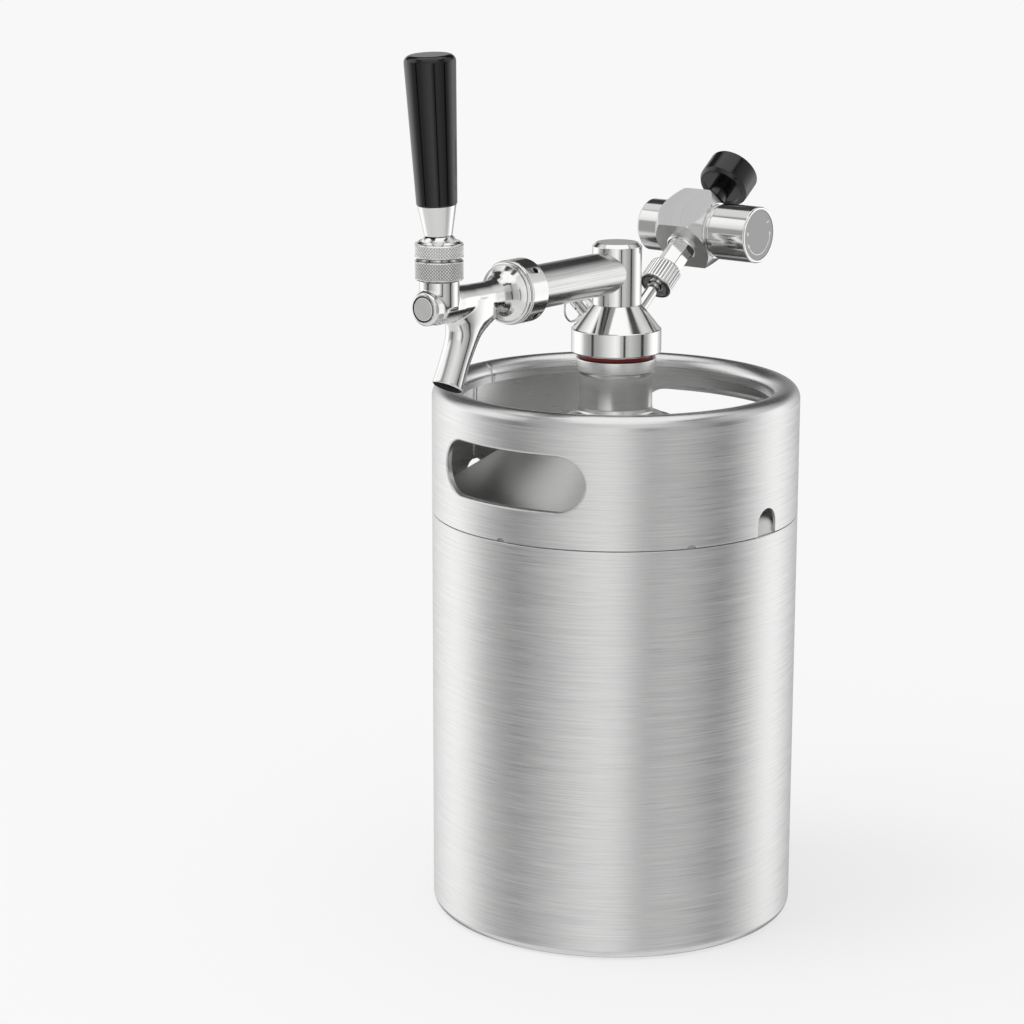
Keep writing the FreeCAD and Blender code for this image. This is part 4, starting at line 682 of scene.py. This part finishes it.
# Handle: a tapered acetal grip over a polished ferrule. The grip is moulded and
# buffed black, with a rolled top edge; the ferrule's foot rides over the bonnet.
PIVOT = 24.4
HANDLE_LEAN = 4
handle_place = lever_foot @ Matrix.Translation((0, 0, PIVOT * MM)) @ Matrix.Rotation(
    math.radians(HANDLE_LEAN), 4, "X")
ferrule = turned("handle_ferrule_turned", [
    (2.6, 8.1), (4.2, 7.4, 0), (6, 6.09, 0.2), (8.3, 19.2, 0.2), (2.6, 19.2),
], polished, handle_place, segments=128)
seat(ferrule, "lever", "polished_steel", "handle_ferrule")
acetal, tree, shader, grain = mottled(
    "buffed_black_acetal", "040404", "080808", 220.0, 3.0, Roughness=0.06, IOR=1.48)
peel = add(tree, "Bump", {"Height": grain, "Strength": 0.05, "Distance": 0.00003})
tree.links.new(peel.outputs[0], shader.inputs["Normal"])
grip = turned("handle_grip_moulded", [
    (0, 20), (0, 19.2), (8.4, 19.2, 0.25), (8.7, 19.7, 0.3), (11.1, 82.2, 3), (0, 82.2),
], acetal, handle_place, edge=0.25, segments=160)
seat(grip, "lever", "black_gloss", "handle_grip")

# Relief valve: a small turned stainless body pressed into a slanted seat in the cone. A
# sprung plunger stands out of it, and a wire pull ring hangs from the plunger.
RELIEF_SLOPE = 40
relief_place = (Matrix.Translation(Vector((-15.9, 0, 281.7)) * MM)
                @ Matrix.Rotation(math.radians(RELIEF_SLOPE - 90), 4, "Y"))
relief_body = turned("relief_body_turned", [
    (1.65, -3.9), (4.4, -3.9), (4.4, 3.4, 0.1), (3.9, 3.8, 0.1), (3.9, 4.4, 0.1), (4.4, 4.8, 0.1),
    (4.4, 8.7, 0.3), (3.6, 9.5, 0.3), (1.65, 9.5, 0.1),
], polished, relief_place, segments=96)
seat(relief_body, "head", "polished_steel", "relief_body")

# Gas stem: a thin polished tube from the cone up to the gas nut, with a flange that
# the nut pulls. The gas line slopes up at 37 degrees to the back.
GAS_SLOPE = 37
gas_line = (Matrix.Translation(Vector((0, 16.3, 281.1)) * MM)
            @ Matrix.Rotation(math.radians(GAS_SLOPE - 90), 4, "X"))
stem = turned("gas_stem_turned", [
    (1.3, -4.9), (2.9, -4.9), (2.9, 22.1), (5.4, 22.1), (5.4, 24.1), (1.3, 24.1),
], polished, gas_line, segments=96)
seat(stem, "head", "polished_steel", "gas_stem")

# Gas nut: a swivel nut of turned stainless that pulls the regulator's nipple to the stem.
# Its straight knurl is cut in parallel grooves, and a ring in its skirt holds it on.
STRAIGHT_GROOVES = 30
GROOVE_DEPTH = 0.42
# Painted shade darkens the straight knurl's grooves, from 7.9 mm radius down to 7.55 mm.
grooved = knurled_steel("groove_knurled_stainless", 7.55, 7.9)
gas_nut = turned("gas_nut_knurled", [
    (6, 16.8), (7.2, 16.8, 0.2), (7.9, 17.5, 0.2), (8, 18.2, 0.1), (8, 27.6, 0.1), (7.8, 28.2, 0.2),
    (7.3, 28.8, 0.3), (6.4, 28.8), (6.4, 21.8), (3.2, 21.8), (3.2, 19.8), (6, 19.8),
], grooved, gas_line, segments=STRAIGHT_GROOVES * 8,
    relief=lambda angle, radius, height: radius - (
        GROOVE_DEPTH * abs(math.sin(angle * STRAIGHT_GROOVES / 2)) ** 4
        if radius > 7.75 and 18 < height < 28 else 0))
seat(gas_nut, "gas_nut", "knurled_steel", "gas_nut")
skirt_ring = turned("gas_nut_retaining_ring", [
    (3.3, 17.4), (4.2, 17.1, 0.2), (6.1, 17.1, 0.2), (6.1, 19.5), (3.3, 19.5),
], polished, gas_line, segments=96)
seat(skirt_ring, "gas_nut", "polished_steel")

# Gas nipple: a fitting milled from stainless hexagon bar. Its threaded end sits inside the
# nut, and its other end screws into the regulator's port.
HEX_CORNER = 10.6 / math.sqrt(3)
HEX_LENGTH = 15.8
HEX_MIDDLE = 35.9
hexagon = bmesh.new()
bmesh.ops.create_cone(hexagon, cap_ends=True, segments=6, radius1=HEX_CORNER * MM,
                      radius2=HEX_CORNER * MM, depth=HEX_LENGTH * MM)
nipple = finished("gas_nipple_hexagon", hexagon, polished,
                  gas_line @ Matrix.Translation((0, 0, HEX_MIDDLE * MM)), weighted=False)
chamfer = nipple.modifiers.new("milled_edges", "BEVEL")
chamfer.width = 0.0003
chamfer.segments = 3
nipple.modifiers.new("even_normals", "WEIGHTED_NORMAL").weight = 70
seat(nipple, "regulator", "polished_steel", "gas_nipple")

# Regulator body: a forged brass block, milled and chromed. Its front face keeps the
# satin of the mill, and the rest is polished; round bosses meet the knob and inlet.
REGULATOR_PLACE = 56.5
BLOCK = (27.2, 26.6, 26)
BLOCK_OFFSET = 0.5
milled = brushed_steel("milled_satin_face", "CCCCCC", "D8D8D8", 0.3, 0.4, 0.0004, 0.08)
centre = gas_line @ Matrix.Translation((0, 0, REGULATOR_PLACE * MM))
knob_axis = Matrix.Translation(centre.translation) @ Matrix.Rotation(math.radians(90), 4, "Y")
socket_axis = Matrix.Translation(centre.translation) @ Matrix.Rotation(math.radians(-90), 4, "Y")
form = turned("regulator_body_milled", [
    (0, -13.5), (13, -13.5, 0.8), (18.6, -7.5, 3.5), (18.6, 7.5, 3.5), (13, 13.5, 0.8), (0, 13.5),
], polished, knob_axis, edge=0, segments=192)
form.modifiers.clear()
cube = bmesh.new()
bmesh.ops.create_cube(cube, size=1.0)
block = finished("block", cube, milled, weighted=False)
block.matrix_world = (centre @ Matrix.Translation((0, 0, BLOCK_OFFSET * MM))
                      @ Matrix.Diagonal(Vector(BLOCK) * MM).to_4x4())
cut_with(form, [block], "INTERSECT")
front = (centre.to_3x3() @ Vector((0, -1, 0))).normalized()
underside = (centre.to_3x3() @ Vector((0, 0, -1))).normalized()
form.data.materials.clear()
for finish in (polished, milled, faced_steel):
    form.data.materials.append(finish)
turn = form.matrix_world.to_3x3()
for polygon in form.data.polygons:
    facing = turn @ polygon.normal
    polygon.material_index = 1 if facing.dot(front) > 0.99 else 2 if facing.dot(underside) > 0.99 else 0
chamfer = form.modifiers.new("milled_edges", "BEVEL")
chamfer.width = 0.0005
chamfer.segments = 3
chamfer.limit_method = "ANGLE"
chamfer.angle_limit = math.radians(25)
form.data.shade_smooth()
form.modifiers.new("even_normals", "WEIGHTED_NORMAL").weight = 70
seat(form, "regulator", "polished_steel", "regulator_body")
boss = turned("knob_boss_turned", [
    (6, 12), (12.2, 12), (12.2, 13.9, 0.3), (11.7, 14.1, 0.2), (11.7, 14.5, 0.2), (12.2, 14.7, 0.3),
    (12.2, 15.7, 0.4), (11.8, 16.1, 0.2), (6, 16.1),
], polished, knob_axis, segments=128)
seat(boss, "regulator", "polished_steel")
inlet = turned("inlet_collar_turned", [
    (5.4, -14.1), (6.8, -14.1, 0.3), (7.4, -13.5, 0.3), (7.4, -12, 0.2), (5.4, -12),
], polished, centre, segments=96)
seat(inlet, "regulator", "polished_steel")

# Cartridge socket: a polished cup turned from stainless and screwed to the block. It has a
# fine internal thread for the gas cartridge.
THREAD_PITCH = 0.53
thread = []
for k in range(14):
    crest = 24.6 - THREAD_PITCH * k
    thread += [(4.4, crest, 0.02), (4.75, crest - THREAD_PITCH / 2, 0.02)]
socket = turned("cartridge_socket_turned", [
    (5.1, 13.5), (12.2, 13.5, 0.2), (12.2, 23.9, 0.5), (10.6, 25.5, 0.4), (5.2, 25.5, 0.2),
] + thread + [(5.1, 16.6)], polished, socket_axis, segments=144)
seat(socket, "regulator", "polished_steel", "cartridge_socket")

# Pressure knob: a polished cup with a grey anodised plate let into its face. The
# plate is printed in white with plus, minus and an arrow that curves both ways.
knob = turned("regulator_knob_turned", [
    (4, 16.4), (12.6, 16.4, 0.3), (13.15, 17, 0.4), (13.15, 36.2, 0.4), (12.7, 36.7, 0.3),
    (11.85, 36.7, 0.15), (11.85, 35.9, 0.05), (0, 35.9), (0, 31.4), (4, 31.4),
], polished, knob_axis, segments=192)
seat(knob, "knob", "polished_steel", "regulator_knob")
anodised, tree, shader, grain = mottled(
    "grey_anodised_plate", "989898", "A6A6A6", 3500.0, Metallic=0.35, Roughness=0.42)
pits = add(tree, "Bump", {"Height": grain, "Strength": 0.2, "Distance": 0.00003})
tree.links.new(pits.outputs[0], shader.inputs["Normal"])
plate = turned("knob_plate_disc", [(0, 35.9), (11.8, 35.9), (11.8, 36.45, 0.1), (0, 36.45)],
               anodised, knob_axis, segments=160)
seat(plate, "knob", "grey_plate", "knob_plate")
white_ink = mottled("white_pad_print", "E2E2E0", "F2F2F0", 4000.0, Roughness=0.5)[0]


def print_marks(name, strokes, material, place, height, thickness=0.06):
    """Raised ink: each stroke is a flat outline of (x, y) points in mm."""
    ink = bmesh.new()
    for stroke in strokes:
        low = [ink.verts.new(Vector((x, y, height)) * MM) for x, y in stroke]
        high = [ink.verts.new(Vector((x, y, height + thickness)) * MM) for x, y in stroke]
        ink.faces.new(high)
        ink.faces.new(low[::-1])
        for i in range(len(stroke)):
            k = (i + 1) % len(stroke)
            ink.faces.new([low[i], low[k], high[k], high[i]])
    marks = finished(name, ink, material, place, weighted=False)
    marks.data.shade_flat()
    return marks


def arc_strip(radius, width, first, last, count=8):
    """Short flat pieces that follow an arc, as outlines of four points."""
    pieces = []
    for k in range(count):
        a, b = [math.radians(first + (last - first) * (k + e) / count) for e in (0, 1)]
        pieces.append([(r * math.cos(t), r * math.sin(t)) for r, t in (
            (radius - width / 2, a), (radius + width / 2, a),
            (radius + width / 2, b), (radius - width / 2, b))])
    return pieces


def arrow_head(radius, angle, way, length=1.9, width=1.5):
    """A small triangle at the end of an arc, pointing along it."""
    t = math.radians(angle)
    centre_point = Vector((radius * math.cos(t), radius * math.sin(t)))
    ahead = Vector((-math.sin(t), math.cos(t))) * way
    out = Vector((math.cos(t), math.sin(t)))
    return [tuple(centre_point + ahead * length), tuple(centre_point - out * width / 2),
            tuple(centre_point + out * width / 2)]


# The plate's marks as seen from the front of the knob: its local X points down
PRINT_TURN = 14
PRINT_RADIUS = 9.2
ARC_END = 72
SIGN_PLACE = 112
marks = arc_strip(PRINT_RADIUS, 0.42, -ARC_END, ARC_END, 40)
marks.append(arrow_head(PRINT_RADIUS, ARC_END, 1))
marks.append(arrow_head(PRINT_RADIUS, -ARC_END, -1))
sign_x = PRINT_RADIUS * math.cos(math.radians(SIGN_PLACE))
sign_y = PRINT_RADIUS * math.sin(math.radians(SIGN_PLACE))
bar = [(-0.25, -1.1), (0.25, -1.1), (0.25, 1.1), (-0.25, 1.1)]
arm_left = [(-1.1, -0.25), (-0.25, -0.25), (-0.25, 0.25), (-1.1, 0.25)]
arm_right = [(0.25, -0.25), (1.1, -0.25), (1.1, 0.25), (0.25, 0.25)]
for way, strokes in ((1, (bar,)), (-1, (bar, arm_left, arm_right))):
    marks += [[(sign_x + x, way * sign_y + y) for x, y in stroke] for stroke in strokes]
print_turn = Matrix.Rotation(math.radians(PRINT_TURN), 4, "Z")
knob_print = print_marks("knob_print", marks, white_ink, knob_axis @ print_turn, 36.43)
seat(knob_print, "knob", "grey_plate")

# Gauge: a small case of moulded black ABS on its threaded stem. The back carries a
# raised ring; the dial behind its lens faces up and back.
abs_black, tree, shader, grain = mottled(
    "moulded_black_abs", "070707", "0D0D0D", 1800.0, IOR=1.53)
rough = add(tree, "MapRange", {0: grain, 3: 0.14, 4: 0.24})
tree.links.new(rough.outputs[0], shader.inputs["Roughness"])
spark = add(tree, "Bump", {"Height": grain, "Strength": 0.05, "Distance": 0.00003})
tree.links.new(spark.outputs[0], shader.inputs["Normal"])
case = turned("gauge_case_moulded", [
    (0, 84.9), (8.9, 84.9, 0.3), (9.5, 84.2, 0.3), (11.2, 84.2, 0.4), (12.3, 86, 1), (12.4, 89, 2),
    (12.4, 96.9, 0.5), (12.2, 97.4, 0.3), (11.4, 97.4, 0.2), (11.4, 91.9), (0, 91.9),
], abs_black, gas_line, segments=160)
seat(case, "regulator", "black_satin", "gauge_case")
gauge_stem = turned("gauge_stem_moulded", [
    (0, 70), (6.4, 70, 0.2), (6.4, 73, 0.4), (5, 74.5, 0.6), (5, 84.9), (0, 84.9),
], abs_black, gas_line, segments=96)
seat(gauge_stem, "regulator", "black_satin", "gauge_stem")
bezel = turned("gauge_bezel_moulded", [
    (10.4, 96), (11.4, 96), (11.4, 97.2, 0.2), (10.9, 97.35, 0.2), (10.4, 96.6, 0.2),
], abs_black, gas_line, segments=128)
seat(bezel, "regulator", "black_satin", "gauge_bezel")

# Gauge dial: a white card behind the lens, printed in black with ticks and numbers from
# 0 to 60. The black needle rests at zero.
card = mottled("printed_dial_card", "E9E9E4", "F5F5F1", 2500.0, 3.0, Roughness=0.55)[0]
nodes["gauge_dial"].data.materials.clear()
nodes["gauge_dial"].data.materials.append(card)
black_ink = mottled("black_dial_print", "101011", "1C1C1D", 4000.0, Roughness=0.5)[0]
DIAL_TOP = 92.7
FIRST_TICK = 90
TICK_STEP = 9
ticks = []
for k in range(31):
    long_tick = k % 5 == 0
    t = math.radians(FIRST_TICK - TICK_STEP * k)
    inner, outer = (7.6 if long_tick else 8.3), 9.3
    out = Vector((math.cos(t), math.sin(t)))
    side = Vector((-math.sin(t), math.cos(t))) * (0.16 if long_tick else 0.09)
    ticks.append([tuple(out * inner - side), tuple(out * outer - side),
                  tuple(out * outer + side), tuple(out * inner + side)])
ticks += arc_strip(9.35, 0.14, 90, -180, 54)
dial_print = print_marks("dial_scale", ticks, black_ink, gas_line, DIAL_TOP - 0.02, 0.05)
seat(dial_print, "regulator", "dial_white")
for k in range(7):
    t = math.radians(FIRST_TICK - 5 * TICK_STEP * k)
    words = bpy.data.curves.new("dial_number_%d" % (10 * k), "FONT")
    words.body = str(10 * k)
    words.size = 0.0023
    words.extrude = 0.00003
    words.align_x = "CENTER"
    words.align_y = "CENTER"
    words.materials.append(black_ink)
    lettering = bpy.data.objects.new("lettering", words)
    bpy.context.scene.collection.objects.link(lettering)
    bpy.context.view_layer.update()
    graph = bpy.context.evaluated_depsgraph_get()
    flat_mesh = bpy.data.meshes.new_from_object(lettering.evaluated_get(graph))
    bpy.data.objects.remove(lettering)
    number = bpy.data.objects.new("dial_number_%d" % (10 * k), flat_mesh)
    bpy.context.scene.collection.objects.link(number)
    spot = Vector((6.1 * math.cos(t), 6.1 * math.sin(t), DIAL_TOP + 0.02)) * MM
    number.matrix_world = gas_line @ Matrix.Translation(spot) @ Matrix.Rotation(math.pi, 4, "Z")
    seat(number, "regulator", "dial_white")

# Pieces that keep their CAD shape: each gets the finish of its real material.
# Small steel parts are drawn or turned, seals are black rubber, the poppet is brass.
rubber = mottled("black_nitrile_rubber", "171717", "262626", 700.0, 4.0, Roughness=0.6)[0]
brass, tree, shader, grain = mottled("turned_brass", "B08D4E", "C9A765", 300.0, 3.0, Metallic=1.0)
rough = add(tree, "MapRange", {0: grain, 3: 0.22, 4: 0.36})
tree.links.new(rough.outputs[0], shader.inputs["Roughness"])
food_plastic = mottled("moulded_acetal", "E0E0DA", "EDEDE8", 260.0, 3.0, Roughness=0.4)[0]
lens, tree, shader, grain = mottled(
    "clear_acrylic_lens", "F6F7F7", "FDFDFD", 120.0, Transmission_Weight=1.0, IOR=1.49)
rough = add(tree, "MapRange", {0: grain, 3: 0.0, 4: 0.04})
tree.links.new(rough.outputs[0], shader.inputs["Roughness"])
kept = {
    machined_steel: ["dip_tube", "valve_shaft", "relief_spring", "adjusting_spring", "adjusting_screw",
                     "piercing_pin"],
    polished: ["lever", "relief_plunger", "pull_ring"],
    rubber: ["faucet_washer", "shaft_seal", "stem_seal", "diaphragm", "cartridge_seal", "relief_seal"],
    brass: ["poppet"],
    food_plastic: ["dip_tube_foot"],
    black_ink: ["gauge_needle"],
    lens: ["gauge_lens"],
}
for material, names in kept.items():
    for name in names:
        nodes[name].data.materials.clear()
        nodes[name].data.materials.append(material)

# Floor: a pale plain sheet of the backdrop's own colour. It keeps the keg's soft shadow
# and fades into the backdrop away from the keg.
pale, tree, shader = new_material("pale_floor")
tree.nodes.remove(shader)
FLOOR_COLOUR = linear("F8F8F8")
place = add(tree, "TexCoord").outputs["Object"]
distance = add(tree, "VectorMath", {0: place}, operation="LENGTH").outputs["Value"]
fade = add(tree, "MapRange", {0: distance, 1: 0.12, 2: 0.5, 3: 0.62, 4: 1.0})
matt = add(tree, "BsdfDiffuse", {"Color": FLOOR_COLOUR})
glow = add(tree, "Emission", {"Color": FLOOR_COLOUR, "Strength": 1.0})
shown = add(tree, "MixShader", {0: fade.outputs[0], 1: matt.outputs[0], 2: glow.outputs[0]})
tree.links.new(shown.outputs[0], tree.nodes["Material Output"].inputs["Surface"])
floor_mesh = bmesh.new()
bmesh.ops.create_circle(floor_mesh, cap_ends=True, segments=128, radius=6.0)
floor = finished("floor", floor_mesh, pale, weighted=False)
floor.location.z = -0.0002
floor.visible_glossy = False

# Studio light: a pale world with tall soft boxes and dark flags in its reflections,
# which give the steel its upright bands; one broad lamp models the round forms
CAMERA_AZIMUTH = 38.4
world = bpy.data.worlds.new("studio")
bpy.context.scene.world = world
world.use_nodes = True
tree = world.node_tree
background = tree.nodes["Background"]
way = add(tree, "TexCoord").outputs["Generated"]
split = add(tree, "SeparateXYZ", {0: way})
sideways = add(tree, "Math", {0: split.outputs[1], 1: -1.0}, operation="MULTIPLY").outputs[0]
azimuth = add(tree, "Math", {0: split.outputs[0], 1: sideways}, operation="ARCTAN2").outputs[0]
turn = add(tree, "Math", {0: azimuth, 1: math.radians(CAMERA_AZIMUTH)}, operation="SUBTRACT").outputs[0]
whole = add(tree, "Math", {0: turn, 1: 2 * math.pi}, operation="DIVIDE").outputs[0]
part = add(tree, "Math", {0: whole, 1: 0.5}, operation="ADD").outputs[0]
around = add(tree, "Math", {0: part}, operation="FRACT").outputs[0]


def around_ramp(bands):
    """Brightness by the angle to the camera's right, in degrees."""
    made = add(tree, "ValToRGB", {0: around})
    elements = made.color_ramp.elements
    elements.remove(elements[1])
    for i, (degrees, level) in enumerate(bands):
        spot = elements[0] if i == 0 else elements.new((degrees + 180) / 360)
        spot.position = (degrees + 180) / 360
        spot.color = (level, level, level, 1)
    return made.outputs[0]


# At the pieces' own height: tall boxes at both sides and behind the camera
level_band = around_ramp([
    (-180, 0.40), (-156, 0.85), (-119, 1.55), (-102, 1.20), (-90, 0.62), (-76, 0.42), (-69, 0.40),
    (-68, 0.06), (-62, 0.06), (-61, 0.40), (-46, 0.52), (-32, 0.78), (-4, 1.20), (6, 1.02), (10, 0.60),
    (16, 0.58), (17, 0.05), (21, 0.05), (22, 0.58), (33, 0.72), (56, 0.46), (64, 0.36), (65, 0.05),
    (72, 0.05), (73, 0.36), (82, 0.50), (98, 1.15), (116, 1.60), (138, 0.85), (160, 0.42), (180, 0.40),
])
# Above: black cards behind the object, and boxes beside it
high_band = around_ramp([
    (-180, 0.05), (-140, 0.06), (-128, 0.80), (-104, 1.30), (-80, 1.15), (-62, 0.30), (-40, 0.70),
    (0, 1.00), (40, 0.75), (62, 0.30), (84, 0.70), (104, 0.90), (122, 0.70), (136, 0.30), (146, 0.05),
    (180, 0.05),
])
# High above: two dark flags at the sides, open to the front and back
top_band = around_ramp([
    (-180, 0.90), (-110, 0.85), (-98, 0.08), (-54, 0.08), (-46, 1.20), (46, 1.20), (54, 0.08),
    (98, 0.08), (110, 0.85), (180, 0.90),
])
# Below: the table's edge darkens towards the back
low_band = around_ramp([
    (-180, 0.08), (-154, 0.10), (-134, 0.50), (-112, 1.00), (-60, 0.80), (0, 0.85), (60, 0.80),
    (100, 0.80), (134, 0.40), (158, 0.10), (180, 0.08),
])


def blend(low, high, below, above):
    """Change smoothly from one band to the next between two heights of the sky."""
    share = add(tree, "MapRange", {0: split.outputs[2], 1: low, 2: high},
                interpolation_type="SMOOTHSTEP")
    return add(tree, "Mix", {0: share.outputs[0], 6: below, 7: above}, data_type="RGBA").outputs[2]


lower = blend(-0.86, -0.7, (0.9, 0.9, 0.9, 1), low_band)
middle = blend(-0.52, -0.32, lower, level_band)
upper = blend(0.24, 0.36, middle, high_band)
gap = blend(0.74, 0.78, upper, top_band)
ceiling = blend(0.84, 0.88, gap, (1.3, 1.3, 1.3, 1))
ray = add(tree, "LightPath")
glossy = add(tree, "Mix", {0: ray.outputs["Is Glossy Ray"], 6: (0.80, 0.80, 0.80, 1), 7: ceiling},
             data_type="RGBA").outputs[2]
seen = add(tree, "Math", {0: ray.outputs["Is Camera Ray"], 1: ray.outputs["Is Transmission Ray"]},
           operation="MAXIMUM").outputs[0]
final = add(tree, "Mix", {0: seen, 6: glossy, 7: FLOOR_COLOUR}, data_type="RGBA").outputs[2]
tree.links.new(final, background.inputs["Color"])
background.inputs["Strength"].default_value = 1.0
lamp_data = bpy.data.lights.new("overhead_softbox", "AREA")
lamp_data.shape = "DISK"
lamp_data.size = 1.2
lamp_data.energy = 9
lamp = bpy.data.objects.new("overhead_softbox", lamp_data)
bpy.context.scene.collection.objects.link(lamp)
lamp.location = (-0.5, -0.7, 1.7)
lamp.rotation_euler = (Vector((0, 0, 0.2)) - lamp.location).to_track_quat("-Z", "Y").to_euler()
lamp.visible_glossy = False

# Camera: a long lens at the photograph's viewing angle, to the right of the tap and a
# little above the head
camera_data = bpy.data.cameras.new("camera")
camera_data.lens = 103.2
camera_data.sensor_width = 36
camera = bpy.data.objects.new("camera", camera_data)
bpy.context.scene.collection.objects.link(camera)
camera.location = (0.78999, -1.07459, 0.50484)
camera.rotation_euler = (math.radians(76.65), math.radians(-0.1), math.radians(CAMERA_AZIMUTH))
bpy.context.scene.camera = camera
bpy.context.scene.view_settings.view_transform = "Standard"
